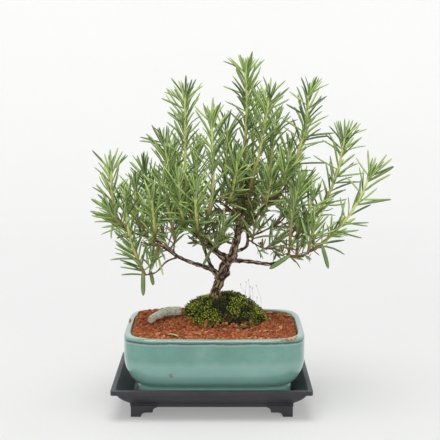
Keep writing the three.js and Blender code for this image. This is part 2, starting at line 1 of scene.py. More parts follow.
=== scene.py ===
# A rosemary grown as a small bonsai, in a glazed pot that stands in a plastic drip tray.
# The tables are in millimetres about the middle of the tray, with the feet at height 0.

import math
import random

import bmesh
import bpy
import numpy as np
from mathutils import Matrix, Vector, noise
from mathutils.bvhtree import BVHTree


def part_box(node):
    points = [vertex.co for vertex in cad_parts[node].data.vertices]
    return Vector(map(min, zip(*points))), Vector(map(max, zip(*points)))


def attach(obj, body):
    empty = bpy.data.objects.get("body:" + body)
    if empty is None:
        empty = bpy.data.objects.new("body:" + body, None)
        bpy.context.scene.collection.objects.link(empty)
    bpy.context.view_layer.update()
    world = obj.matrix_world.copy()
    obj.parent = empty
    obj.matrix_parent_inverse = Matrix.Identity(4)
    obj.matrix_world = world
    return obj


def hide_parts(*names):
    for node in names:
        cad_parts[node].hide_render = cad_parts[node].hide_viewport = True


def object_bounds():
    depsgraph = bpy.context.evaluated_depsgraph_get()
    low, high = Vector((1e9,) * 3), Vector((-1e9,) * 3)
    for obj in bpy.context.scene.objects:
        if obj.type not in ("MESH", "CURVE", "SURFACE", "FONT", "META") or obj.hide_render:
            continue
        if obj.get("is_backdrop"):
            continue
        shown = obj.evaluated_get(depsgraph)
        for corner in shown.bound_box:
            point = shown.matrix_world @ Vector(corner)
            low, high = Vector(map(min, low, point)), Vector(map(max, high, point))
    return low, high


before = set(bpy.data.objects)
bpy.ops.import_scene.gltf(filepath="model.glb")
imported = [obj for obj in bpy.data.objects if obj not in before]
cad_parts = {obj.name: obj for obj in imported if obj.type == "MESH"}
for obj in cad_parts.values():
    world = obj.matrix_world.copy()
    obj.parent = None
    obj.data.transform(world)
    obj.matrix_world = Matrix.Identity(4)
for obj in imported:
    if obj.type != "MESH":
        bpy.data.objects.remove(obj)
cad_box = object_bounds()

# ------------------------------------------------------------------ sizes
MM = 0.001
tray_low, tray_high = (Vector(corner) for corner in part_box("drip_tray"))
HERE = Vector(((tray_low.x + tray_high.x) / 2, (tray_low.y + tray_high.y) / 2, 0))

TRAY_EDGE = 0.5  # how wide its edges are rounded
POT_CENTRE = (2.8, 0)
POT_HALF = (102.6, 79)
POT_POWER = 6.2  # how square the pot's plan is outside
POT_INSIDE_POWER = 5
POT_SEAT = 16.8
POT_COLUMNS = 72
POT_ROWS = [  # inset and height, from under the foot, up the outside and over the lip
    (60, 20.2), (24.5, 20.2), (23.6, 19.6), (22.6, 17), (21.8, POT_SEAT), (18, POT_SEAT), (17.2, 17.1),
    (15.6, 19.5), (14.5, 23), (14.3, 27), (14.3, 31), (14.7, 32.4), (16, 33.2), (15.9, 33.9), (13.6, 35.2),
    (10.6, 37.5), (7.6, 41.5), (5, 46), (2.9, 51), (1.2, 56), (0.3, 62), (0, 68), (0, 80), (0, 88.4),
    (0.2, 89.7), (1, 90.9), (2.3, 91.9), (4, 92.2),
]
POT_INSIDE_ROWS = [  # from the lip down the inside
    (5.7, 91.9), (6.9, 91), (7.6, 89.8), (8, 88.6), (8.3, 84), (8.5, 68), (12.5, 46), (20, 31), (27, 25.4),
    (31, 25), (60, 25),
]
DRAIN_RADIUS = 7
DRAIN_SPREAD = 48  # from the middle of the pot to each hole
DRILL = (24, 20)  # the height of its middle and its length
GLAZE_LINE = 87.9  # where the glaze is thin and brown
MILKY_AND_REFLECTION_FROM = (68, 61)  # the glaze turns milky between these heights, from the upper down, and this paler lower wall also stands in for a painted reflection of the bright floor,
PAINTED_REFLECTION_FROM = (50, 36)  # and the lower wall is painted lighter still between these, a painted reflection of the bright floor that also lifts the shade near the tray
RUST_SPOT = (-45, -74, 52)  # two places on the pot that have marks: rust,
CRUMB_SPOT = (90, -50, 38)  # and crumbs of soil that dried on

GRAVEL_INSET = 9.6  # from the pot's outline to the edge of the gravel
GRAVEL_LOWEST = 82  # of the bed's upper side
GRAVEL_SUNK = 1.4  # how far the bed is below the tops of the grains
GRAIN_FORMS = 9  # different grains, each used many times
GRAIN_SPACING = 2.7  # from grain to grain in a row,
ROW_SPACING = 0.87  # and from row to row, as a share of that
GRAIN_SHADE = (0.52, 0.24)  # the mean and the spread, from dark at 0 to pale at 1
GRAVEL_AREA = ((-105, 110), (-80, 80))  # across and deep, where the rows run
LOOSE_AREA = ((-98, 104), (-76, 76))
EDGE_GRAINS = 360  # that lie along the wall of the pot,
EDGE_INSET = (9, 10.6)  # this far from its outline,
EDGE_LEVEL = 13  # as high as the bed is this far from it
LOOSE_GRAINS = 620  # that lie on top
MOSS_GRAINS = 110  # that lie on the moss, along its front,
MOSS_FRONT = (195, 312)  # between these degrees round its middle
ROW_SIZES, EDGE_SIZES, LOOSE_SIZES, MOSS_SIZES = (2, 3.5), (2, 3.4), (1.8, 3.9), (1.4, 3.2)
MOSS_EDGE = 0.88  # how far out in the moss the gravel begins
STONE_PRESS = 15  # how far from the stone the grains lie lower,
FRONT_PRESS = 3.2  # and how much more so before it
# Loose grains that lie on the moss, the lip and the gravel: x, y, z, size and shade.
STRAY_GRAINS = [
    (-11, 6, 94.5, 3.6, 0.9), (-14, 8, 93.6, 4, 0.8), (-16, 12, 93, 3, 0.95), (-5, 3, 92, 3.8, 0.85),
    (-1, 1, 91.6, 3.4, 0.8), (8, -2, 92, 3.2, 0.9), (2, -1, 92.6, 2.4, 1), (14, -8, 91, 3.6, 0.8),
    (21, -11, 90.6, 3.2, 0.75), (28, -12, 90.6, 3.4, 0.9), (38, -11, 90.8, 3.6, 0.75),
    (-20, 14, 91, 3.4, 0.9),
    (86, -74.8, 92.6, 2, 0.95), (89.4, -72.4, 92.5, 2.4, 1), (93, -68.5, 92.4, 1.8, 0.9),
    (78, -75.8, 92.4, 1.6, 1), (82.6, -74, 92.3, 2.2, 0.9), (84.4, -76.2, 92.2, 1.2, 0.8),
    (-96.8, 14, 92.4, 2.4, 0.9), (-97, 8, 92.3, 1.6, 0.7), (95.4, -62, 92.2, 1.5, 1),
]

MOSS_CENTRE = (14, 29)
MOSS_HALF = (46, 40)
MOSS_BASE = 84
MOSS_HEIGHT = 36
MOUND_DEPTH = 3.2  # from the surface of the moss down to the mound that carries the tufts
MOSS_TUFTS = 2400
PROUD_EVERY = 4  # one tuft in so many stands out, longer, and painted paler as if lit, while the lower tufts are painted darker as shaded
PROUD_TUFT = ((2, 3), (4.4, 7))  # how deep it is rooted, and its length
LOW_TUFT = ((2.6, 3.8), (2.6, 4.2))
MOSS_SPILL = (34, -12, 89)  # moss that crept out over the gravel in front
SPILL_SPREAD = (4, 2)
SPILLED_TUFTS = 36
MOSS_STALKS = [  # the top of each spore stalk
    (43, 20, 139), (40, 22, 136), (52, 18, 133), (45, 24, 130), (39, 15, 125), (45, 17, 120), (53, 20, 118),
    (34, 34, 131), (48, 30, 127),
]
STALK_RADIUS = 0.16
STALK_PALE = (112, 118)  # the heights between which the stalks turn pale
CAPSULE_RADIUS = 0.6

STONE_POINTS = [(-72, 3, 95.2, 4), (-65, 19, 97, 5.4), (-55, 31, 98.4, 6), (-38, 36, 98.8, 5.6)]
STONE_GRID = 0.7  # the mesh width of the stone,
WOOD_GRID = 0.62  # and of the wood
GRAIN_SHIFT = 40  # how far apart the pattern of the bark starts on the first and the last branch
YOUNG_BARK = (2.4, 1)  # the radii between which the bark turns young and brown
ALGAE_TOP = 146  # where the algae on the bark begin,
ALGAE_FADE = 26  # and how far below that they are at their full

# Woody branches: x, y, z and radius of each point, from where it leaves its parent.
BRANCHES = {
    "trunk": [(1, 20, 62, 4.5), (1, 20, 92, 7.2), (3, 20, 112, 6.1), (4, 20, 126, 5.7), (9, 19, 139, 5.6),
              (13, 18, 151, 6.6), (17, 17, 161, 5.7), (23, 17, 169, 5.1), (26, 17, 178, 4.4),
              (29, 18, 189, 4.6), (31, 20, 201, 4.3), (33, 22, 212, 3.9), (36, 23, 226, 3.2),
              (36, 24, 240, 2.7), (39, 20, 269, 1.9)],
    "low_left": [(9, 18, 144, 4), (0, 14, 153, 3.1), (-10, 9, 158, 2.6), (-30, -2, 167, 2.2),
                 (-48, -10, 179, 2), (-65, -17, 194, 1.8), (-80, -22, 200, 1.4), (-96, -26, 205, 1.2),
                 (-105, -27, 211, 1.1)],
    "droop": [(-38, -6, 172, 1.3), (-52, -14, 168, 1.1), (-64, -22, 157, 1.1), (-76, -28, 155, 1.1)],
    "thin_up": [(-44, -8, 177, 1), (-43, -15, 194, 0.9)],
    "back_left": [(3, 18, 147, 2.8), (-7, 29, 168, 2), (-14, 38, 189, 1.8), (-22, 45, 214, 1.5),
                  (-27, 48, 226, 1.3)],
    "rising_left": [(20, 16, 157, 3.2), (12, 10, 168, 2.9), (-5, 1, 184, 2.7), (-21, -4, 200, 2.3),
                    (-38, -5, 211, 1.8), (-53, 1, 221, 1.2)],
    "rising_left_spur": [(-20, -4, 200, 1.8), (-23, -8, 213, 1.5), (-25, -11, 226, 1.3)],
    "dark_left": [(22, 16, 167, 2.4), (5, 10, 177, 1.9), (-7, -5, 196, 1.5), (-7, -14, 208, 1.3)],
    "low_right": [(23, 16, 164, 3), (44, 8, 164, 2.3), (67, -3, 163, 2.2), (83, -13, 170, 1.8),
                  (87, -17, 177, 1.6), (89, -20, 187, 1.4)],
    "far_right": [(87, -17, 176, 1.5), (101, -22, 176, 1.3), (116, -26, 184, 1.2)],
    "stub": [(27, 17, 183, 1.8), (20, 15, 185, 1.5), (14, 14, 188, 1.1)],
    "bow": [(27, 17, 174, 2.2), (40, 27, 178, 1.9), (42, 31, 187, 1.8), (41, 34, 198, 1.7),
            (43, 42, 226, 1.4), (44, 46, 240, 1.3)],
    "low_twig": [(41, 31, 187, 1.2), (53, 22, 181, 1), (60, 18, 178, 1), (76, 12, 178, 0.9)],
    "rising_right": [(33, 20, 197, 2.2), (49, 11, 215, 1.8), (62, 4, 231, 1.7), (77, -2, 243, 1.6),
                     (87, -7, 260, 1.3)],
    "cross_right": [(89, -20, 186, 1.4), (101, -4, 200, 1.3), (116, 8, 209, 1.2)],
    "back_right": [(41, 31, 188, 1.4), (63, 39, 196, 1.2), (84, 44, 208, 1.1), (89, 45, 216, 1)],
    "crown_left": [(33, 21, 210, 2.5), (16, 9, 229, 1.9), (9, 4, 235, 1.5)],
    "crown_front": [(36, 23, 227, 1.9), (40, 12, 237, 1.6), (43, 4, 247, 1.4)],
}
KNOBS = [(16.5, 16, 148.5, 4.6), (6, 17, 143, 3.6), (27, 16, 170, 3.4)]  # where old branches were cut
SCAR = (14.5, 10, 147.6)  # the dark cut on the front of the fork
SCAR_REACH = 6.5

# Green shoots: the line of each stem, from inside the branch that carries it to its tip.
SHOOTS = {
    "far_left": [(-105, -27, 211), (-109, -28, 222), (-112, -28, 248), (-113, -28, 289)],
    "drooping_left": [(-76, -28, 155), (-80, -31, 165), (-89, -33, 188), (-95, -33, 213), (-97, -32, 255)],
    "broad_left": [(-80, -22, 200), (-84, -14, 214), (-87, -11, 243), (-88, -11, 270)],
    "slant_left": [(-53, 1, 221), (-62, 4, 232), (-75, 6, 258), (-84, 7, 285)],
    "thin_left": [(-43, -15, 194), (-46, -21, 213), (-52, -26, 243), (-62, -28, 279)],
    "upper_left": [(-38, -5, 211), (-41, -2, 225), (-47, 0, 250), (-50, -1, 278), (-58, -3, 319)],
    "low_shoot": [(-71, -25, 155), (-70, -14, 162), (-68, -6, 171), (-66, -1, 182)],
    "low_front": [(-61, -15, 190), (-61, -26, 181), (-63, -38, 177), (-66, -47, 174)],
    "outer_left": [(-96, -26, 205), (-103, -36, 216), (-114, -45, 231), (-120, -48, 243)],
    "outer_left_back": [(-88, -24, 202), (-98, -8, 208), (-113, 8, 217), (-121, 13, 225)],
    "left_back": [(-73, -20, 198), (-82, 0, 209), (-97, 15, 238), (-100, 17, 253)],
    "tall_left": [(-25, -11, 226), (-27, -14, 239), (-30, -15, 272), (-30, -15, 306), (-30, -15, 370)],
    "tall_middle": [(-7, -14, 208), (-4, -24, 225), (1, -33, 254), (1, -34, 286), (-1, -34, 345)],
    "behind_left": [(-27, 48, 226), (-35, 44, 238), (-44, 41, 267), (-47, 41, 306)],
    "behind_middle": [(9, 4, 235), (13, 8, 249), (16, 11, 282), (18, 11, 335)],
    "tallest": [(39, 20, 269), (38, 18, 284), (39, 16, 316), (40, 16, 348), (37, 16, 399)],
    "front_right": [(43, 4, 247), (46, -4, 260), (53, -12, 288), (59, -14, 320), (67, -14, 370)],
    "behind_right": [(44, 46, 240), (46, 48, 258), (48, 50, 293), (52, 50, 329), (56, 50, 364)],
    "right_tall": [(87, -7, 260), (91, -9, 271), (99, -10, 296), (106, -10, 326), (110, -10, 373)],
    "gap_right": [(58, 6, 227), (61, 18, 240), (67, 24, 273), (72, 25, 308), (75, 25, 343)],
    "inner_right": [(72, 0, 239), (79, 13, 250), (87, 22, 278), (92, 25, 310)],
    "right_second": [(116, 8, 209), (122, 8, 220), (134, 6, 242), (145, 4, 272), (154, 4, 323)],
    "upright_low": [(89, -20, 187), (89, -22, 201), (92, -24, 229), (101, -24, 274)],
    "between_right": [(101, -4, 200), (106, -14, 215), (115, -22, 244), (118, -24, 257)],
    "far_right": [(116, -26, 184), (125, -28, 192), (142, -32, 209), (159, -34, 232), (182, -36, 282)],
    "right_front": [(109, -24, 179), (110, -36, 193), (116, -47, 218), (119, -49, 229)],
    "right_inner": [(96, -20, 175), (98, -8, 184), (101, 8, 206), (102, 11, 217)],
    "small_right": [(63, 16, 177), (69, 8, 185), (75, 3, 192), (82, 0, 198)],
    "small_middle": [(47, 26, 185), (49, 18, 197), (50, 14, 209), (51, 12, 219)],
    "back_right_up": [(89, 45, 216), (93, 47, 230), (96, 50, 262), (95, 50, 279)],
    "small_left": [(1, 4, 179), (6, -6, 191), (15, -18, 210), (17, -20, 224)],
    "front_left": [(-14, -3, 194), (-16, -24, 210), (-18, -46, 242), (-15, -51, 272)],
    "front_middle": [(16, 9, 229), (21, -10, 242), (27, -30, 271), (30, -36, 300)],
    "front_right_low": [(62, 4, 231), (63, -14, 240), (66, -36, 267), (67, -40, 281)],
    "front_right_mid": [(77, -2, 243), (78, -20, 255), (84, -36, 281), (86, -38, 296)],
    "left_front": [(-65, -17, 194), (-64, -36, 207), (-65, -58, 235), (-67, -63, 260)],
    "mid_left_front": [(-29, -5, 206), (-33, -24, 219), (-36, -44, 250), (-36, -49, 279)],
    "rear_left": [(-18, 42, 201), (-20, 58, 214), (-20, 73, 250), (-17, 78, 305)],
    "rear_far_left": [(-22, 45, 214), (-31, 60, 224), (-46, 76, 251), (-49, 79, 268)],
    "rear_middle": [(41, 34, 198), (36, 53, 209), (26, 72, 241), (24, 77, 299)],
    "rear_right": [(41, 38, 212), (48, 56, 222), (64, 75, 249), (74, 80, 282)],
    "rear_top": [(43, 42, 226), (41, 60, 237), (40, 75, 271), (40, 77, 290)],
    "rear_far_right": [(74, 42, 201), (83, 56, 210), (103, 69, 233), (117, 73, 263)],
    "rear_low_left": [(-48, -10, 179), (-54, 12, 183), (-67, 38, 200), (-76, 47, 227)],
    "rear_upper_left": [(-46, -2, 216), (-54, 20, 223), (-69, 41, 246), (-74, 45, 262)],
}

# Single leaves below and beside the crown: the shoot that bears each, root, tip, width and bend.
# The bend is a place in LEAF_BENDS. At the strongest the upper side is up, and otherwise to the front.
SINGLE_LEAVES = [
    ("drooping_left", (-78, -30, 161), (-78, -32, 132), 5, 4),
    ("low_shoot", (-70, -21, 158), (-67, -22, 142), 4.4, 3),
    ("far_right", (124, -28, 191), (132, -30, 163), 4.6, 1),
    ("far_right", (121, -27, 188), (150, -32, 179), 3, 0),
    ("small_left", (3, 0, 184), (-7, -12, 172), 3.4, 3),
    ("small_left", (-2, 3, 176), (-11, 2, 160), 3.4, 3),
    ("far_left", (-107, -28, 214), (-137, -32, 229), 3.4, 2),
    ("far_left", (-110, -28, 226), (-135, -34, 243), 3.6, 3),
    ("far_right", (161, -34, 236), (200, -36, 243), 3, 2),
    ("far_right", (173, -35, 262), (203, -36, 279), 3, 3),
    ("tallest", (39, 16, 367), (46, 14, 407), 3, 3),
    ("upright_low", (89, -19, 176), (66, -16, 160), 5.4, 1),
    ("upright_low", (88, -15, 175), (105, -14, 170), 2.6, 1),
]
# Leaves whose tips stand clear in the photograph: for each shoot, the pixels of those tips.
SEEN_TIPS = {
    "far_left": [(92, 150), (98, 162), (94, 167), (96, 184), (118, 147), (126, 154), (128, 155), (110, 149),
                 (92, 211), (94, 222), (101, 217), (104, 227), (111, 239)],
    "drooping_left": [(110, 260), (116, 244), (115, 253), (120, 267), (121, 275), (122, 241)],
    "slant_left": [(137, 155), (130, 167), (143, 152)],
    "upper_left": [(140, 137), (139, 141), (148, 136), (159, 127), (146, 215), (154, 219), (146, 211),
                   (139, 197), (187, 198), (187, 219)],
    "tall_left": [(171, 78), (167, 88), (164, 92), (161, 98), (167, 112), (167, 122), (192, 79), (196, 79),
                  (203, 86), (186, 75)],
    "tall_middle": [(194, 105), (221, 102), (224, 104), (213, 97)],
    "tallest": [(223, 61), (229, 57), (223, 86), (225, 101), (243, 57), (248, 56), (252, 52), (259, 58),
                (259, 71)],
    "front_right": [(276, 81), (286, 80), (288, 88), (289, 99)],
    "right_tall": [(289, 91), (286, 104), (282, 118), (281, 125), (317, 76), (322, 81), (329, 84), (327, 96),
                   (321, 122), (334, 133), (329, 136), (327, 141), (327, 163)],
    "right_second": [(338, 120), (347, 126), (350, 129), (361, 123), (367, 129), (362, 137), (366, 146),
                     (329, 126), (354, 162), (322, 140), (325, 134), (313, 155), (365, 173), (361, 182),
                     (346, 189), (347, 199)],
    "far_right": [(368, 149), (376, 157), (387, 154), (392, 158), (394, 166), (359, 167), (391, 200),
                  (360, 189), (356, 157), (345, 176), (340, 197), (368, 226), (362, 238), (345, 240),
                  (343, 213)],
}
IMAGE = 440  # the photograph is square
SEEN_LENGTH = 27  # of the leaf that such a tip belongs to
SEEN_WIDTH = (2.1, 2.8)
CLEAR_LEAN = 1.1  # radians from the stem, past which such a leaf is moved along it,
LEAN_COST = 14  # as if each radian more were this many millimetres

LEAF_SECTION = [  # across and up: the rolled edges, the groove above and the rib below
    (0.5, -0.13), (0.25, 0.12), (0, 0.03), (-0.25, 0.12), (-0.5, -0.13), (-0.25, -0.1), (0, -0.22),
    (0.25, -0.1),
]
LEAF_ROWS = [(0, 0.5), (0.1, 0.72), (0.3, 0.95), (0.55, 1), (0.78, 0.94), (0.92, 0.68), (1, 0.24)]
LEAF_ASPECT = 7.5  # length of the form for a width of 1
LEAF_BENDS = (-52, -34, -20, -8, 9, 24)  # degrees from root to tip: below 0 the leaf arches outward
BEND_ODDS = (2, 4, 5, 4, 3, 1)
TALL_SHOOT = 110  # the length from which on a stem has its full thickness
STEM_RADII = (1.1, 1)  # of the thinnest stem, at its foot and its tip,
MORE_RADII = (0.95, 0.55)  # and what a tall one adds
STEM_GREENS = 90  # a stem shorter than this stays woody toward its tip
TIP_SHORT = 15  # the youngest leaves stand this much past the end of the stem,
TIP_SHARE = 0.3  # or this share of a short one
FIRST_PAIR = 0.3  # below the end of the stem,
LAST_PAIR = 4  # and above its foot
PAIRS_TO_GROW = 5  # from the tip, until the leaves are full-grown
YOUNG_LEAN, MORE_LEAN, OLD_LEAN = 0.2, 0.42, 0.36  # radians: at the tip, what growing adds, what age adds
YOUNG_LENGTH, MORE_LENGTH, OLD_SHORTER = 16, 20, 0.3
YOUNG_WIDTH, MORE_WIDTH = 1.75, 0.95
YOUNG_GAP, MORE_GAP, OLD_GAP = 1.8, 2.2, 0.8  # along the stem, from pair to pair
OLD_AFTER = 110  # from the tip
FALLEN_GAP = 4
OLD_FALLEN = 0.4  # the share of the pairs in the lower half of a shoot that has fallen,
SPARSE_SHOOTS = {  # and the share all along those shoots that show more, or less, of their stem
    "far_left": 0.45, "outer_left": 0.45, "outer_left_back": 0.4, "drooping_left": 0.3, "broad_left": 0.25,
    "low_front": 0.5, "left_back": 0.3, "right_tall": 0.1, "right_second": 0.4, "between_right": 0.4,
    "far_right": 0.55,
}
KEPT_PAIRS = 4  # at the tip, none of which has fallen
FIT_TRIES = 6  # a leaf that reaches too far is made shorter, up to so many times,
SHORTER = 0.85  # to this share of its length
SMALL_AFTER = 14  # from the tip: small leaves grow where the larger ones join the stem,
MORE_SMALL_AFTER = 40  # and up to three of them from here
SMALL_ODDS = 0.55
SMALL_LENGTH = (8, 18)
SMALL_WIDTH = (1.5, 2.2)

# Twigs on the old wood inside the crown: how many on each branch, and the share of it that stays bare.
TWIGS = {
    "low_left": (8, 0.5), "thin_up": (3, 0.3), "back_left": (12, 0.35), "rising_left": (18, 0.44),
    "rising_left_spur": (8, 0.1), "dark_left": (12, 0.42), "trunk": (30, 0.62), "stub": (4, 0.6),
    "crown_left": (12, 0.2), "crown_front": (10, 0.1), "rising_right": (16, 0.2), "bow": (14, 0.4),
    "low_right": (4, 0.75), "far_right": (6, 0.3), "low_twig": (5, 0.3), "cross_right": (8, 0.1),
    "back_right": (9, 0.3),
}
TWIG_LENGTH = (9, 24)
TWIG_RADII = (0.75, 0.5)  # at its root and its tip
TWIG_BARE = 0.3  # the share of a twig that bears no leaf
TWIG_LEAVES = (5, 10)
TWIG_LEAF_LENGTH = (7, 17)
TWIG_LEAF_WIDTH = (1.5, 2.3)
DRY = 1.5  # the age of a leaf that has turned brown

# Leaves that fell on the gravel: root, tip, width and age.
FALLEN_LEAVES = [
    ((-50, -47, 90.6), (-37, -55, 90.2), 3, 0.4), ((88, 42, 91), (94, 38, 92.4), 3, 0.2),
    ((66, 58, 91.6), (73, 56, 92), 3, 0.6), ((66, 27, 90.4), (70, 23, 91.4), 2.4, 0.7),
    ((-20, -40, 90), (-12, -44, 90.4), 1.6, 0.8), ((58, -30, 89.6), (66, -26, 90.6), 1.8, 0.9),
]

ROOM_LOW = (Vector(cad_box[0]) - HERE) / MM
ROOM_HIGH = (Vector(cad_box[1]) - HERE) / MM
ROOM_MARGIN = 0.6  # that the leaves keep from the sides of the room
CROWN_FLOOR = 160  # no tip of a leaf is lower, but for the single leaves
UPWARD = Vector((0, 0, 1))
FRONT = Vector((0, -1, 0.35))  # the light side, toward which the leaves turn their upper side
LYING = Vector((0, -0.3, 1))  # where the upper side of a lying or much bent leaf points


def at(spot):
    """A place in the tables, in metres in the frame."""
    return HERE + Vector(spot) * MM


def clip(value, low=0, high=1):
    return min(max(value, low), high)


# ------------------------------------------------------------------ camera, light and floor
CAMERA_SPOT = (9.2, -1255, 399)
CAMERA_PITCH = 8.38  # degrees below level
LENS = 90
SENSOR = 36
SKY = 0.5
KEY_SPOT = (-90, -330, 1900)
KEY_POWER = 21
KEY_SIZE = 1.1  # metres
KEY_AIM = (0, 0, 200)
SKY_TINT = (0.97, 0.985, 1, 1)
# The room that the glaze mirrors grows brighter toward the ceiling, Z, and its far side, Y:
# how much of the direction lies along that axis where this begins and ends, and the strength at both.
ROOM_GLEAM = {"Z": (0.05, 0.6, 0.3, 1.3), "Y": (0.35, 0.95, 0, 0.5)}
FLOOR_FLAT = 1.6  # metres of flat floor round the plant, before the paper curves up
SWEEP_RISE = 1.2
SWEEP_TOP = 2.0
SWEEP_STEPS = 16
PAPER_GLOW = 0.27  # what the paper gives off under the plant, so that its shadow stays pale,
FAR_GLOW = 0.265  # and what is added to that far off
GLOW_REACH = (0.25, 2.6)  # metres from the middle, between which it is added


def set_camera():
    """At the height and distance of the photograph's."""
    turn = (math.radians(90 - CAMERA_PITCH), 0, 0)
    bpy.ops.object.camera_add(location=at(CAMERA_SPOT), rotation=turn)
    camera = bpy.context.object
    camera.name = "photo_camera"
    camera.data.lens = LENS
    camera.data.sensor_width = SENSOR
    camera.data.clip_end = 50
    bpy.context.scene.camera = camera


def sighted(column, row, depth):
    """The place in the tables, this deep in the scene, that the camera sees at a pixel."""
    pitch = math.radians(CAMERA_PITCH)
    focal = IMAGE * LENS / SENSOR
    forward = Vector((0, math.cos(pitch), -math.sin(pitch)))
    upward = Vector((0, math.sin(pitch), math.cos(pitch)))
    ray = forward + Vector((1, 0, 0)) * (column - IMAGE / 2) / focal + upward * (IMAGE / 2 - row) / focal
    return Vector(CAMERA_SPOT) + ray * (depth - CAMERA_SPOT[1]) / ray.y


def set_light():
    """Soft light from above. The glaze mirrors a dim room with a bright far side and ceiling."""
    bpy.context.scene.view_settings.view_transform = "Standard"
    world = bpy.data.worlds.new("pale_room")
    bpy.context.scene.world = world
    world.use_nodes = True
    nodes, links = world.node_tree.nodes, world.node_tree.links
    sky = nodes["Background"]
    sky.inputs["Color"].default_value = SKY_TINT
    path = nodes.new("ShaderNodeLightPath")
    toward = nodes.new("ShaderNodeTexCoord")
    split = nodes.new("ShaderNodeSeparateXYZ")
    links.new(toward.outputs["Generated"], split.inputs[0])
    both = nodes.new("ShaderNodeMath")
    for socket, (axis, numbers) in zip(both.inputs, ROOM_GLEAM.items()):
        rise = nodes.new("ShaderNodeMapRange")
        for name, number in zip(("From Min", "From Max", "To Min", "To Max"), numbers):
            rise.inputs[name].default_value = number
        links.new(split.outputs[axis], rise.inputs["Value"])
        links.new(rise.outputs[0], socket)
    strength = nodes.new("ShaderNodeMix")
    strength.inputs[2].default_value = SKY
    links.new(path.outputs["Is Glossy Ray"], strength.inputs[0])
    links.new(both.outputs[0], strength.inputs[3])
    links.new(strength.outputs[0], sky.inputs["Strength"])
    bpy.ops.object.light_add(type="AREA", location=at(KEY_SPOT))
    key = bpy.context.object
    key.name = "key_light"
    key.rotation_euler = (at(KEY_AIM) - key.location).to_track_quat("-Z", "Y").to_euler()
    key.data.size = KEY_SIZE
    key.data.energy = KEY_POWER


def lay_floor():
    """Pale paper: a flat floor, and a sweep that rises all round it, well beyond the camera."""
    rounds = []
    for name, filling in (("floor", "NGON"), ("backdrop", "NOTHING")):
        bpy.ops.mesh.primitive_circle_add(vertices=128, radius=FLOOR_FLAT, fill_type=filling, location=HERE)
        bpy.context.object.name = name
        rounds.append(bpy.context.object)
    open_all()
    turns = [math.pi / 2 * i / SWEEP_STEPS for i in range(SWEEP_STEPS + 1)]
    spots = [(FLOOR_FLAT + SWEEP_RISE * math.sin(turn), SWEEP_RISE * (1 - math.cos(turn))) for turn in turns]
    spots.append((FLOOR_FLAT + SWEEP_RISE, SWEEP_TOP))
    for (radius, height), (next_radius, next_height) in zip(spots, spots[1:]):
        draw_out(next_height - height, (next_radius / radius,) * 2, (HERE.x, HERE.y, next_height))
    close_up()
    bpy.ops.object.shade_smooth()
    bpy.context.object.visible_glossy = False
    paper = Finish("pale_paper", Roughness=0.9)
    place = paper.place()
    grain = paper.noise(place, 3, 2)
    paper.connect("Base Color", paper.mix(grain, paint(188, 188, 187), paint(193, 193, 192)))
    spread = paper.node("VectorMath", {0: place}, "Value", operation="LENGTH")
    paper.connect("Emission Color", paint(254, 254, 253))
    glow = paper.range(spread, *GLOW_REACH, PAPER_GLOW, PAPER_GLOW + FAR_GLOW)
    paper.connect("Emission Strength", glow)
    for piece in rounds:
        settle(piece)
        piece.data.materials.append(paper.material)
        piece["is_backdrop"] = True


# ------------------------------------------------------------------ finishes
def paint(red, green, blue):
    """A colour as it looks on screen, from 0 to 255, as the shader takes it."""
    def linear(value):
        value /= 255
        return value / 12.92 if value <= 0.04045 else ((value + 0.055) / 1.055) ** 2.4
    return linear(red), linear(green), linear(blue), 1


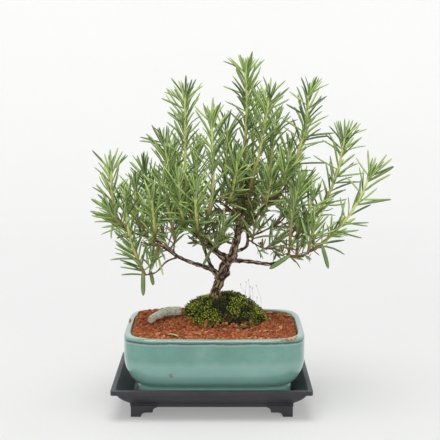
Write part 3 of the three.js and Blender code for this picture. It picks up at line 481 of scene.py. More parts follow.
class Finish:
    """A material, with short ways to add the nodes of its pattern."""

    def __init__(self, name, **sockets):
        self.material = bpy.data.materials.new(name)
        self.material.use_nodes = True
        self.tree = self.material.node_tree
        self.shader = self.tree.nodes["Principled BSDF"]
        for socket, value in sockets.items():
            self.connect(socket.replace("_", " "), value)

    def fill(self, socket, value):
        if isinstance(value, bpy.types.NodeSocket):
            self.tree.links.new(value, socket)
        else:
            socket.default_value = value

    def connect(self, name, value):
        self.fill(self.shader.inputs[name], value)

    def node(self, kind, inputs, output=0, **settings):
        node = self.tree.nodes.new("ShaderNode" + kind)
        for name, value in settings.items():
            setattr(node, name, value)
        for socket, value in inputs.items():
            self.fill(node.inputs[socket], value)
        return node.outputs[output]

    def place(self):
        return self.node("TexCoord", {}, "Object")

    def attribute(self, name, output="Color"):
        return self.node("Attribute", {}, output, attribute_name=name)

    def parts(self, colour):
        """The three numbers of a colour or vector."""
        return [self.node("SeparateColor", {0: colour}, channel) for channel in ("Red", "Green", "Blue")]

    def axis(self, vector, name):
        return self.node("SeparateXYZ", {0: vector}, name)

    def noise(self, place, scale, detail=2.0, roughness=0.5):
        inputs = {"Vector": place, "Scale": scale, "Detail": detail, "Roughness": roughness}
        return self.node("TexNoise", inputs, 0)

    def cells(self, place, scale, output="Distance", feature="F1"):
        return self.node("TexVoronoi", {"Vector": place, "Scale": scale}, output, feature=feature)

    def scaled(self, place, factors):
        return self.node("VectorMath", {0: place, 1: factors}, operation="MULTIPLY")

    def near(self, place, spot, inner, outer):
        """1 within a distance of a place in the tables, and 0 beyond another, both in millimetres."""
        away = self.node("VectorMath", {0: place, 1: at(spot)}, "Value", operation="DISTANCE")
        return self.range(away, outer * MM, inner * MM)

    def sum(self, operation, first, second, limit=False):
        return self.node("Math", {0: first, 1: second}, operation=operation, use_clamp=limit)

    def range(self, value, low, high, to_low=0.0, to_high=1.0):
        inputs = {"Value": value, "From Min": low, "From Max": high, "To Min": to_low, "To Max": to_high}
        return self.node("MapRange", inputs)

    def between(self, height, levels):
        """0 at the first of two heights in the tables and 1 at the second."""
        return self.range(height, levels[0] * MM, levels[1] * MM)

    def mix(self, factor, first, second, blend="MIX"):
        node = self.tree.nodes.new("ShaderNodeMix")
        node.data_type = "RGBA"
        node.blend_type = blend
        for socket, value in ((0, factor), (6, first), (7, second)):
            self.fill(node.inputs[socket], value)
        return node.outputs[2]

    def over(self, body, colour, where, share=1.0):
        """The body with a colour on it, as strongly as a pattern and a share of it say."""
        return self.mix(self.sum("MULTIPLY", where, share, True), body, colour)

    def ramp(self, factor, *stops):
        node = self.tree.nodes.new("ShaderNodeValToRGB")
        self.fill(node.inputs[0], factor)
        points = node.color_ramp.elements
        while len(points) < len(stops):
            points.new(1)
        for point, (spot, colour) in zip(points, stops):
            point.position = spot
            point.color = colour
        return node.outputs[0]

    def bump(self, height, distance, strength=1.0):
        inputs = {"Height": height, "Distance": distance, "Strength": strength}
        self.connect("Normal", self.node("Bump", inputs))


def glaze_finish():
    """Green-blue glaze: clouded, milky where it ran down, painted paler on the lower wall as a reflection of
    the bright floor, and thin and brown below the lip.
    """
    glaze = Finish("celadon_glaze", Roughness=0.16, Coat_Weight=0.6, Coat_Roughness=0.06)
    place = glaze.place()
    height = glaze.axis(place, "Z")
    cloud = glaze.noise(place, 28, 4, 0.6)
    body = glaze.ramp(
        cloud, (0.3, paint(96, 144, 132)), (0.5, paint(107, 154, 143)), (0.72, paint(121, 165, 154)),
    )
    speckle = glaze.range(glaze.noise(place, 900, 2), 0.62, 0.72)
    body = glaze.over(body, paint(88, 138, 126), speckle, 0.35)
    sag = glaze.range(glaze.noise(glaze.scaled(place, (1, 1, 0.25)), 60, 2), 0.3, 0.7, -0.002, 0.002)
    wavy = glaze.sum("ADD", height, sag)
    # Milky below a wavy line, which also serves as a painted reflection of the bright floor; lower down the
    # wall is painted lighter still, another painted reflection.
    body = glaze.over(body, paint(160, 202, 193), glaze.between(wavy, MILKY_AND_REFLECTION_FROM), 0.34)
    body = glaze.over(body, paint(148, 206, 192), glaze.between(height, PAINTED_REFLECTION_FROM), 0.55)
    lip = glaze.between(wavy, (GLAZE_LINE, GLAZE_LINE + 1))
    body = glaze.over(body, paint(97, 149, 133), lip, 0.9)
    wander = glaze.range(glaze.noise(place, 45, 3), 0.3, 0.7, -0.0006, 0.0006)
    moved = glaze.sum("SUBTRACT", glaze.sum("ADD", height, wander), GLAZE_LINE * MM)
    line = glaze.range(glaze.sum("ABSOLUTE", moved, 0), 0.0013, 0.0006)
    thin = glaze.range(glaze.noise(place, 90, 3, 0.7), 0.3, 0.5, 0.55, 1)
    shade = glaze.ramp(glaze.noise(place, 160, 2), (0.4, paint(86, 60, 54)), (0.6, paint(74, 78, 80)))
    body = glaze.over(body, shade, line, thin)
    below = glaze.sum("ABSOLUTE", glaze.sum("ADD", moved, 0.0021), 0)
    body = glaze.over(body, paint(160, 188, 184), glaze.range(below, 0.0012, 0.0004), 0.4)
    pit = glaze.range(glaze.cells(place, 55), 0.045, 0.03)
    few = glaze.range(glaze.axis(glaze.cells(place, 55, "Color"), "X"), 0.88, 0.9)
    body = glaze.over(body, paint(74, 52, 38), pit, few)
    rust = glaze.range(glaze.noise(place, 420, 3, 0.7), 0.46, 0.54)
    body = glaze.over(body, paint(104, 60, 34), rust, glaze.near(place, RUST_SPOT, 1.5, 4.5))
    crumbs = glaze.range(glaze.noise(place, 520, 2), 0.56, 0.6, 0, 0.9)
    body = glaze.over(body, paint(150, 84, 46), crumbs, glaze.near(place, CRUMB_SPOT, 3, 11))
    glaze.connect("Base Color", body)
    glaze.connect("Roughness", glaze.range(cloud, 0.3, 0.7, 0.1, 0.22))
    glaze.bump(glaze.noise(place, 60, 2), 0.0006, 0.25)
    return glaze.material


def tray_finish():
    """Dark moulded plastic, finely grained and a little dusty."""
    plastic = Finish("moulded_plastic", Roughness=0.55)
    place = plastic.place()
    worn = plastic.noise(place, 35, 5, 0.65)
    plastic.connect("Base Color", plastic.ramp(worn, (0.35, paint(44, 43, 48)), (0.65, paint(58, 57, 62))))
    plastic.connect("Roughness", plastic.range(worn, 0.3, 0.7, 0.45, 0.68))
    plastic.bump(plastic.noise(place, 1400, 2), 0.0001, 0.5)
    return plastic.material


def screen_finish():
    """Black plastic mesh, dulled by soil."""
    mesh = Finish("screen_mesh", Roughness=0.7)
    grain = mesh.noise(mesh.place(), 500, 3)
    mesh.connect("Base Color", mesh.ramp(grain, (0.3, paint(30, 30, 30)), (0.7, paint(52, 50, 48))))
    mesh.bump(grain, 0.0002, 0.5)
    return mesh.material


def soil_finish():
    """Dark crumbs of potting soil."""
    earth = Finish("potting_soil", Roughness=1.0)
    crumbs = earth.noise(earth.place(), 420, 6, 0.7)
    earth.connect("Base Color", earth.ramp(crumbs, (0.3, paint(34, 23, 17)), (0.7, paint(84, 62, 45))))
    earth.bump(crumbs, 0.0012, 0.9)
    return earth.material


def lava_finish():
    """Crushed red lava: each grain has its own shade, fine pores and pale dust."""
    lava = Finish("red_lava", Roughness=0.95)
    place = lava.place()
    shade = lava.attribute("shade", "Fac")
    body = lava.ramp(
        shade, (0, paint(104, 50, 26)), (0.25, paint(160, 86, 46)), (0.55, paint(196, 108, 58)),
        (0.8, paint(220, 134, 80)), (1, paint(244, 182, 136)),
    )
    grit = lava.noise(place, 1100, 4, 0.7)
    body = lava.mix(lava.range(grit, 0.38, 0.6, 0.5, 0), body, paint(98, 46, 32))
    dust = lava.range(lava.noise(place, 700, 3), 0.6, 0.72, 0, 0.45)
    lava.connect("Base Color", lava.mix(dust, body, paint(222, 172, 138)))
    lava.bump(grit, 0.0005, 0.8)
    return lava.material


def bed_finish():
    """The gravel below the loose grains, painted darker than them as the shade in the gaps between them."""
    bed = Finish("lava_bed", Roughness=1.0)
    place = bed.place()
    grains = bed.cells(place, 330, "Color")
    body = bed.ramp(bed.axis(grains, "X"), (0, paint(104, 50, 30)), (1, paint(168, 92, 58)))
    bed.connect("Base Color", body)
    bed.bump(bed.cells(place, 330), 0.0012, 0.9)
    return bed.material


def moss_finish():
    """Moss: brown deep down and yellow-green at the tips, in patches of each, painted near black toward the
    roots as shade.
    """
    moss = Finish("cushion_moss", Roughness=0.85, Sheen_Weight=0.1)
    lift, shade, brown = moss.parts(moss.attribute("growth"))
    # The near-black at the root of each ramp is painted shade; the second number, which mixes the two ramps,
    # carries painted light and shade as well as patches.
    lively_and_lit = moss.ramp(
        lift, (0, paint(7, 10, 3)), (0.6, paint(32, 46, 8)), (0.85, paint(118, 144, 22)),
        (1, paint(236, 244, 92)),
    )
    dull_and_shaded = moss.ramp(lift, (0, paint(8, 11, 4)), (0.6, paint(17, 26, 8)), (1, paint(50, 64, 18)))
    body = moss.mix(moss.range(shade, 0.25, 0.75), dull_and_shaded, lively_and_lit)
    body = moss.mix(brown, body, moss.ramp(lift, (0, paint(28, 20, 12)), (1, paint(104, 82, 44))))
    moss.connect("Base Color", body)
    moss.bump(moss.noise(moss.place(), 1600, 3), 0.0004, 0.6)
    return moss.material


def stone_finish():
    """Pale grey stone with darker stains and grit."""
    stone = Finish("grey_stone", Roughness=0.9)
    place = stone.place()
    cloud = stone.noise(place, 90, 5, 0.65)
    grey = stone.ramp(cloud, (0.3, paint(204, 208, 190)), (0.7, paint(246, 246, 230)))
    stain = stone.range(stone.noise(place, 300, 4, 0.7), 0.5, 0.62)
    body = stone.over(grey, paint(132, 132, 106), stain, 0.65)
    grit = stone.range(stone.noise(place, 700, 3), 0.6, 0.7, 0, 0.5)
    stone.connect("Base Color", stone.mix(grit, body, paint(206, 206, 190)))
    stone.bump(stone.noise(place, 500, 5, 0.7), 0.0008, 0.8)
    return stone.material


def bark_finish():
    """Old bark: dark fissures between grey-tan ridges, algae low down and a dark scar at the fork."""
    bark = Finish("rosemary_bark", Roughness=0.92)
    grain = bark.attribute("grain", "Vector")
    ridge, thin, low = bark.parts(bark.attribute("growth"))
    fibre = bark.noise(bark.scaled(grain, (0.9, 0.9, 0.16)), 1, 5, 0.65)
    body = bark.ramp(
        ridge, (0.15, paint(32, 22, 18)), (0.48, paint(96, 74, 60)), (0.78, paint(202, 176, 150)),
    )
    body = bark.mix(bark.range(fibre, 0.43, 0.56, 0.75, 0), body, paint(42, 30, 26))
    body = bark.over(body, paint(128, 98, 74), thin, 0.6)
    algae = bark.range(bark.noise(bark.scaled(grain, (0.3, 0.3, 0.12)), 1, 3), 0.42, 0.58)
    algae = bark.sum("MULTIPLY", algae, bark.range(ridge, 0.35, 0.6))
    body = bark.over(body, paint(166, 160, 88), algae, low)
    body = bark.over(body, paint(48, 42, 48), bark.near(bark.place(), SCAR, SCAR_REACH / 2, SCAR_REACH), 0.85)
    bark.connect("Base Color", body)
    bark.bump(fibre, 0.0008, 0.9)
    return bark.material


def leaf_finish():
    """Needle leaves: green above with painted shade on the rolled edges, grey and felted below, pale at the
    root.
    """
    leaf = Finish("rosemary_leaf", Roughness=0.42)
    along, tone, age = leaf.parts(leaf.attribute("growth"))
    under = leaf.attribute("growth", "Alpha")
    top = leaf.ramp(
        age, (0, paint(206, 230, 138)), (0.25, paint(194, 222, 126)), (0.6, paint(174, 206, 112)),
        (1, paint(140, 170, 84)),
    )
    top = leaf.mix(leaf.range(tone, 0.6, 1, 0, 0.6), top, paint(190, 212, 134))
    top = leaf.mix(leaf.range(tone, 0.5, 0.1, 0, 0.85), top, paint(44, 80, 28))
    top = leaf.mix(leaf.range(along, 0.35, 0, 0, 0.7), top, paint(188, 210, 132))
    fleck = leaf.noise(leaf.place(), 700, 3)
    top = leaf.mix(leaf.range(fleck, 0.4, 0.65, 0.22, 0), top, paint(62, 100, 48))
    # Painted shade: the rolled edges are painted dark green, darker with age.
    edge = leaf.mix(age, paint(50, 84, 28), paint(24, 46, 18))
    top = leaf.mix(leaf.range(under, 0.08, 0.5), top, edge)
    felt = leaf.mix(age, paint(172, 196, 132), paint(128, 156, 102))
    body = leaf.mix(leaf.range(under, 0.5, 1), top, felt)
    dry = leaf.ramp(fleck, (0.35, paint(96, 66, 46)), (0.65, paint(168, 134, 88)))
    leaf.connect("Base Color", leaf.mix(leaf.range(age, 1.2, 1.4), body, dry))
    leaf.connect("Roughness", leaf.range(under, 0, 1, 0.38, 0.8))
    leaf.bump(fleck, 0.0002, 0.4)
    return leaf.material


def stem_finish():
    """Young stems: brown and woody below, yellow-green toward the tip, with fine ribs."""
    stem = Finish("green_stem", Roughness=0.6)
    along = stem.parts(stem.attribute("growth"))[0]
    body = stem.ramp(
        along, (0, paint(132, 100, 70)), (0.15, paint(166, 142, 92)), (0.4, paint(224, 222, 138)),
        (1, paint(230, 244, 152)),
    )
    rib = stem.noise(stem.scaled(stem.place(), (1, 1, 0.15)), 1300, 3)
    stem.connect("Base Color", stem.mix(stem.range(rib, 0.4, 0.6, 0.2, 0), body, paint(124, 128, 66)))
    stem.bump(rib, 0.0002, 0.5)
    return stem.material


# ------------------------------------------------------------------ modelling helpers
def take(piece):
    """Makes one piece the active and only selected one."""
    bpy.ops.object.select_all(action="DESELECT")
    piece.select_set(True)
    bpy.context.view_layer.objects.active = piece
    return piece


def open_all():
    """Starts to edit the active piece, with all of it selected."""
    bpy.ops.object.mode_set(mode="EDIT")
    bpy.ops.mesh.select_all(action="SELECT")


def close_up():
    """Ends the editing of the active piece."""
    bpy.ops.object.mode_set(mode="OBJECT")


def face_outward():
    """Turns the faces of the piece in edit mode outward."""
    bpy.ops.mesh.select_all(action="SELECT")
    bpy.ops.mesh.normals_make_consistent(inside=False)


def draw_out(lift, grow, centre):
    """Draws the selected ring up by a height, and wider or narrower about a place at its new level."""
    bpy.ops.mesh.extrude_region_move(TRANSFORM_OT_translate={"value": (0, 0, lift)})
    bpy.ops.transform.resize(value=(*grow, 1), center_override=centre)


def modify(piece, kind, **settings):
    """Adds a modifier and applies it."""
    take(piece)
    modifier = piece.modifiers.new(kind, kind)
    for name, value in settings.items():
        setattr(modifier, name, value)
    bpy.ops.object.modifier_apply(modifier=modifier.name)


def smooth(piece, angle):
    take(piece)
    bpy.ops.object.shade_smooth_by_angle(angle=math.radians(angle))


def outward_of(piece):
    """The direction square to the surface at each corner, read before any of them moves."""
    return [corner.normal.copy() for corner in piece.data.vertices]


def settle(piece):
    """Puts a finished piece's place into its mesh."""
    take(piece)
    bpy.ops.object.transform_apply(location=True, rotation=True, scale=True)
    return piece


def copy_of_solid(node, name):
    """A copy of a CAD node, its loose triangles merged, ready to be made finer."""
    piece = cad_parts[node].copy()
    piece.data = piece.data.copy()
    piece.name = name
    bpy.context.collection.objects.link(piece)
    take(piece)
    open_all()
    bpy.ops.mesh.remove_doubles(threshold=1e-5)
    close_up()
    return piece


def record_growth(mesh, numbers):
    """Keeps four numbers for each corner, which the finishes read."""
    mesh.attributes.new("growth", "FLOAT_COLOR", "POINT").data.foreach_set("color", numbers)


def dress(piece, material):
    """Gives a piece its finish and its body."""
    piece.data.materials.clear()
    piece.data.materials.append(material)
    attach(piece, "root")


def join(name, pieces):
    """One piece from several, of which the first gives the order of the finishes."""
    bpy.ops.object.select_all(action="DESELECT")
    for piece in pieces:
        piece.select_set(True)
    bpy.context.view_layer.objects.active = pieces[0]
    if len(pieces) > 1:
        bpy.ops.object.join()
    joined = bpy.context.view_layer.objects.active
    joined.name = name
    joined.data.name = name
    return joined


class Line:
    """A smooth line through points, measured by its length in millimetres."""

    STEPS = 12

    def __init__(self, points):
        points = [Vector(point[:3]) for point in points]
        ends = [2 * points[0] - points[1], *points, 2 * points[-1] - points[-2]]
        self.spots = []
        for before, start, end, after in zip(ends, ends[1:], ends[2:], ends[3:]):
            for step in range(self.STEPS):
                self.spots.append(self.between(before, start, end, after, step / self.STEPS))
        self.spots.append(points[-1])
        self.marks = [0.0]
        for start, end in zip(self.spots, self.spots[1:]):
            self.marks.append(self.marks[-1] + (end - start).length)
        self.length = self.marks[-1]

    def cut(self, short):
        """Ends the line this much sooner."""
        self.length -= short

    @staticmethod
    def between(before, start, end, after, share):
        """Centripetal curve, so that uneven points make no loops."""
        knots = [0.0]
        for one, two in ((before, start), (start, end), (end, after)):
            knots.append(knots[-1] + max((two - one).length, 1e-6) ** 0.5)
        spot = knots[1] + share * (knots[2] - knots[1])

        def blend(one, two, low, high):
            return one * ((high - spot) / (high - low)) + two * ((spot - low) / (high - low))

        first = blend(before, start, knots[0], knots[1])
        second = blend(start, end, knots[1], knots[2])
        third = blend(end, after, knots[2], knots[3])
        left = blend(first, second, knots[0], knots[2])
        right = blend(second, third, knots[1], knots[3])
        return blend(left, right, knots[1], knots[2])

    def at(self, distance):
        """The spot at a distance from the start, and the direction there."""
        distance = clip(distance, 0, self.length)
        passed = (i for i, mark in enumerate(self.marks[1:]) if mark >= distance)
        index = next(passed, len(self.spots) - 2)
        start, end = self.spots[index], self.spots[index + 1]
        share = (distance - self.marks[index]) / max(self.marks[index + 1] - self.marks[index], 1e-9)
        return start.lerp(end, share), (end - start).normalized()


class Bar:
    """A line with a thickness at each of its points: x, y, z and radius."""

    def __init__(self, rows):
        self.line = Line(rows)
        self.shares = [self.line.marks[i * Line.STEPS] for i in range(len(rows))]
        self.radii = [row[3] for row in rows]

    def radius(self, distance):
        return float(np.interp(distance, self.shares, self.radii))


def taper(radii, line):
    """The radius along a line that goes evenly from one to another."""
    return lambda distance: radii[0] + (radii[1] - radii[0]) * distance / line.length


def draw_bar(name, line, radius_at, sides, spacing):
    """A round bar along a line, drawn as a curve with a thickness and made a mesh."""
    bpy.ops.curve.primitive_nurbs_path_add(location=(0, 0, 0))
    path = bpy.context.object
    path.name = name
    curve = path.data
    curve.splines.clear()
    count = max(3, round(line.length / spacing)) + 1
    spline = curve.splines.new("POLY")
    spline.points.add(count - 1)
    for i, point in enumerate(spline.points):
        distance = line.length * i / (count - 1)
        point.co = (*at(line.at(distance)[0]), 1)
        point.radius = radius_at(distance) * MM
    curve.dimensions = "3D"
    curve.bevel_depth = 1
    curve.bevel_resolution = max(0, sides // 4 - 1)
    curve.use_fill_caps = True
    take(path)
    bpy.ops.object.convert(target="MESH")
    return bpy.context.object


def gather(name, copies):
    """One mesh from many: copies are a form's mesh, its place as a matrix, and its attribute values."""
    whole = bmesh.new()
    for form, matrix, values in copies:
        one = form.copy()
        one.transform(matrix)
        for attribute, numbers in values.items():
            kind = "color" if one.attributes[attribute].data_type == "FLOAT_COLOR" else "value"
            one.attributes[attribute].data.foreach_set(kind, numbers)
        whole.from_mesh(one)
        bpy.data.meshes.remove(one)
    mesh = bpy.data.meshes.new(name)
    whole.to_mesh(mesh)
    whole.free()
    piece = bpy.data.objects.new(name, mesh)
    bpy.context.collection.objects.link(piece)
    return piece


def turned_any_way(dice):
    axis = Vector([dice.uniform(-1, 1) for _ in range(3)]).normalized()
    return Matrix.Rotation(dice.uniform(0, 2 * math.pi), 4, axis)


# ------------------------------------------------------------------ tray, pot and what fills it
def make_tray():
    """The moulded tray: the solid's own form, with its edges rounded."""
    tray = copy_of_solid("drip_tray", "moulded_tray")
    open_all()
    bpy.ops.mesh.dissolve_limited(angle_limit=math.radians(2))
    close_up()
    sharp = math.radians(20)
    modify(tray, "BEVEL", width=TRAY_EDGE * MM, segments=2, limit_method="ANGLE", angle_limit=sharp)
    smooth(tray, 40)
    dress(tray, tray_finish())
    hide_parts("drip_tray")


def pot_outline(turn, inset, power):
    """A point of the pot's plan, in millimetres."""
    def bulge(value):
        return math.copysign(abs(value) ** (2 / power), value)
    return (
        POT_CENTRE[0] + (POT_HALF[0] - inset) * bulge(math.cos(turn)),
        POT_CENTRE[1] + (POT_HALF[1] - inset) * bulge(math.sin(turn)),
    )


def make_pot():
    """One skin, drawn out ring by ring from under the foot to the lip and down the inside."""
    bpy.ops.mesh.primitive_circle_add(vertices=POT_COLUMNS, radius=1, fill_type="NOTHING", location=(0, 0, 0))
    pot = bpy.context.object
    pot.name = "glazed_pot"
    turns = [math.atan2(corner.co.y, corner.co.x) for corner in pot.data.vertices]
    first_inset, first_height = POT_ROWS[0]
    for corner, turn in zip(pot.data.vertices, turns):
        corner.co = at((*pot_outline(turn, first_inset, POT_POWER), first_height))
    take(pot)
    open_all()
    rows = POT_ROWS + POT_INSIDE_ROWS
    for (inset, height), (next_inset, next_height) in zip(rows, rows[1:]):
        grow = [(half - next_inset) / (half - inset) for half in POT_HALF]
        draw_out((next_height - height) * MM, grow, at((*POT_CENTRE, next_height)))
    close_up()
    squarer_by = POT_POWER / POT_INSIDE_POWER
    for corner in pot.data.vertices[len(POT_ROWS) * POT_COLUMNS:]:
        inset, height = min(POT_INSIDE_ROWS, key=lambda row: abs(row[1] * MM - corner.co.z) + row[0] * 1e-9)
        if abs(height - POT_INSIDE_ROWS[-1][1]) < 0.01:
            continue
        for axis, half in enumerate(POT_HALF):
            middle = HERE[axis] + POT_CENTRE[axis] * MM
            share = (corner.co[axis] - middle) / ((half - inset) * MM)
            rounder = math.copysign(min(abs(share), 1) ** squarer_by, share)
            corner.co[axis] = middle + rounder * (half - inset) * MM
    take(pot)
    open_all()
    bpy.ops.mesh.select_all(action="DESELECT")
    bpy.ops.mesh.select_non_manifold()
    bpy.ops.mesh.fill_holes(sides=0)
    face_outward()
    close_up()
    modify(pot, "SUBSURF", levels=2, render_levels=2)
    for side in (-1, 1):
        spot = at((POT_CENTRE[0] + side * DRAIN_SPREAD, POT_CENTRE[1], DRILL[0]))
        size = {"radius": DRAIN_RADIUS * MM, "depth": DRILL[1] * MM}
        bpy.ops.mesh.primitive_cylinder_add(vertices=40, location=spot, **size)
        drill = bpy.context.object
        modify(pot, "BOOLEAN", object=drill, operation="DIFFERENCE", solver="EXACT")
        bpy.data.objects.remove(drill)
    smooth(pot, 40)
    dress(pot, glaze_finish())
    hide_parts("pot")


def in_pot(x, y, inset):
    """Whether a place is inside the pot, this far from its outline."""
    across = abs((x - POT_CENTRE[0]) / (POT_HALF[0] - inset)) ** POT_INSIDE_POWER
    return across + abs((y - POT_CENTRE[1]) / (POT_HALF[1] - inset)) ** POT_INSIDE_POWER < 1


def moss_reach(x, y):
    """How far out a place is in the moss: 0 in its middle and 1 at its edge."""
    return math.hypot((x - MOSS_CENTRE[0]) / MOSS_HALF[0], (y - MOSS_CENTRE[1]) / MOSS_HALF[1])


def grain_forms(dice):
    """A few broken grains, each a cube cut finer and knocked out of shape."""
    forms = []
    for i in range(GRAIN_FORMS):
        bpy.ops.mesh.primitive_cube_add(size=1, location=(0, 0, 0))
        grain = bpy.context.object
        open_all()
        bpy.ops.mesh.subdivide(number_cuts=1, smoothness=0.6)
        bpy.ops.transform.vertex_random(offset=0.17, seed=i + 3)
        stretch = [dice.uniform(0.6, 0.9), dice.uniform(0.8, 1), dice.uniform(0.9, 1.35)]
        bpy.ops.transform.resize(value=stretch)
        close_up()
        mesh = grain.data
        mesh.attributes.new("shade", "FLOAT", "POINT")
        forms.append(mesh)
        bpy.data.objects.remove(grain)
    return forms


def pressed_down(stone_line, x, y):
    """How much lower the grains lie where the stone presses on them, most of all before it."""
    nearest = min(stone_line.spots, key=lambda spot: math.hypot(x - spot.x, y - spot.y))
    away = math.hypot(x - nearest.x, y - nearest.y)
    return max(0, 1 - (away / STONE_PRESS) ** 2) * (FRONT_PRESS if y < nearest.y else 1)


def make_bed(stone_line):
    """The solid's own form, sunk a little below the tops of the loose grains."""
    bed = copy_of_solid("gravel", "gravel_bed")
    modify(bed, "SUBSURF", levels=2, render_levels=2, subdivision_type="SIMPLE")
    for corner in bed.data.vertices:
        if corner.co.z > GRAVEL_LOWEST * MM:
            x, y = (corner.co.x - HERE.x) / MM, (corner.co.y - HERE.y) / MM
            corner.co.z -= (GRAVEL_SUNK + pressed_down(stone_line, x, y)) * MM
    smooth(bed, 50)
    dress(bed, bed_finish())
    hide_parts("gravel")
    corners = [corner.co.copy() for corner in bed.data.vertices]
    return BVHTree.FromPolygons(corners, [tuple(face.vertices) for face in bed.data.polygons])


def make_gravel():
    """Loose lava grains on the bed, packed in rows and then knocked about."""
    dice = random.Random(11)
    forms = grain_forms(dice)
    stone_line = Line(STONE_POINTS)
    surface = make_bed(stone_line)
    halves = {"gravel_left": [], "gravel_right": []}

    def surface_under(x, y):
        return surface.ray_cast(at((x, y, 200)), Vector((0, 0, -1)))[0]

    def place(spot, x, size, shade):
        form = dice.choice(forms)
        matrix = Matrix.Translation(spot) @ turned_any_way(dice) @ Matrix.Scale(size * MM, 4)
        side = "gravel_left" if x < 0 else "gravel_right"
        halves[side].append((form, matrix, {"shade": [shade] * len(form.vertices)}))

    def drop(x, y, lift, size, shade):
        """A grain on the bed."""
        under = surface_under(x, y)
        if under is not None and under.z >= (GRAVEL_LOWEST - GRAVEL_SUNK) * MM:
            place(under + Vector((0, 0, lift)) * MM, x, size, shade)

    def shade():
        return clip(dice.gauss(*GRAIN_SHADE))

    (left, right), (front, back) = GRAVEL_AREA
    y = front
    row = 0
    while y < back:
        x = left + (row % 2) * GRAIN_SPACING / 2
        while x < right:
            spot = (x + dice.uniform(-1, 1), y + dice.uniform(-1, 1))
            if in_pot(*spot, GRAVEL_INSET) and moss_reach(*spot) > MOSS_EDGE:
                drop(*spot, dice.uniform(-0.5, 0.7), dice.uniform(*ROW_SIZES), shade())
            x += GRAIN_SPACING
        y += GRAIN_SPACING * ROW_SPACING
        row += 1
    for i in range(EDGE_GRAINS):
        turn = 2 * math.pi * i / EDGE_GRAINS
        x, y = pot_outline(turn, dice.uniform(*EDGE_INSET), POT_INSIDE_POWER)
        under = surface_under(*pot_outline(turn, EDGE_LEVEL, POT_INSIDE_POWER))
        if under is not None:
            spot = (x, y, under.z / MM + dice.uniform(-1.4, 0.4))
            place(at(spot), x, dice.uniform(*EDGE_SIZES), shade())
    for _ in range(LOOSE_GRAINS):
        x, y = (dice.uniform(*ends) for ends in LOOSE_AREA)
        clear = moss_reach(x, y) > 0.9 and pressed_down(stone_line, x, y) < 0.8
        if in_pot(x, y, GRAVEL_INSET + 1.5) and clear:
            drop(x, y, dice.uniform(0.8, 1.8), dice.uniform(*LOOSE_SIZES), shade())
    for _ in range(MOSS_GRAINS):
        turn = math.radians(dice.uniform(*MOSS_FRONT))
        rise = dice.uniform(0, 0.48) ** 2
        spot = moss_spot(Vector((math.cos(turn), math.sin(turn), rise)), dice.uniform(0, 0.8))[0]
        place(at(spot), spot[0], dice.uniform(*MOSS_SIZES), dice.uniform(0.6, 1))
    for x, y, z, size, tone in STRAY_GRAINS:
        place(at((x, y, z)), x, size, tone)
    lava = lava_finish()
    for name, copies in halves.items():
        grains = gather(name, copies)
        smooth(grains, 50)
        dress(grains, lava)


def tuft_form(blades, lean):
    """A moss tuft, 1 high: blunt leaves that lean out from one root."""
    whole = []
    for i in range(blades):
        bpy.ops.mesh.primitive_cone_add(vertices=3, radius1=0.19, radius2=0.12, depth=1, location=(0, 0, 0.5))
        blade = settle(bpy.context.object)
        blade.data.transform(Matrix.Diagonal((0.55, 1, 1, 1)))
        turn = Matrix.Rotation(2 * math.pi * i / blades, 4, "Z") @ Matrix.Rotation(math.radians(lean), 4, "Y")
        blade.data.transform(turn)
        whole.append(blade)
    tuft = join("tuft", whole)
    form = tuft.data
    form.attributes.new("growth", "FLOAT_COLOR", "POINT")
    lifts = [min(corner.co.length, 1) for corner in form.vertices]
    bpy.data.objects.remove(tuft)
    return form, lifts


def tuft_growth(lifts, low, green, brown):
    """The numbers that the finish reads for a tuft: how high, which it paints darker toward the root as
    shade, how green, with painted light and shade in it, and how brown it is.
    """
    return {"growth": [number for lift in lifts for number in (low + (1 - low) * lift, green, brown, 1)]}


def moss_spot(direction, deeper):
    """A place on the mound, this many millimetres below its surface, and the way out of it there."""
    x, y, z = direction
    lump = 1 + 0.03 * math.sin(7 * x + 3 * y) + 0.04 * math.sin(5 * y - 6 * x + 2)
    apart = noise.voronoi(direction * 6.5)[0]
    clump = 1.8 * noise.noise(direction * 5) + 4.4 * (0.5 * (apart[1] - apart[0]) ** 0.5 - 0.2)
    below = deeper - clump
    spot = (
        MOSS_CENTRE[0] + (MOSS_HALF[0] * lump - below) * x,
        MOSS_CENTRE[1] + (MOSS_HALF[1] * lump - below) * y,
        MOSS_BASE + (MOSS_HEIGHT * lump - below) * max(z, 0) ** 0.8,
    )
    outward = Vector((x / MOSS_HALF[0], y / MOSS_HALF[1], max(z, 0) / MOSS_HEIGHT)).normalized()
    return spot, outward, clump


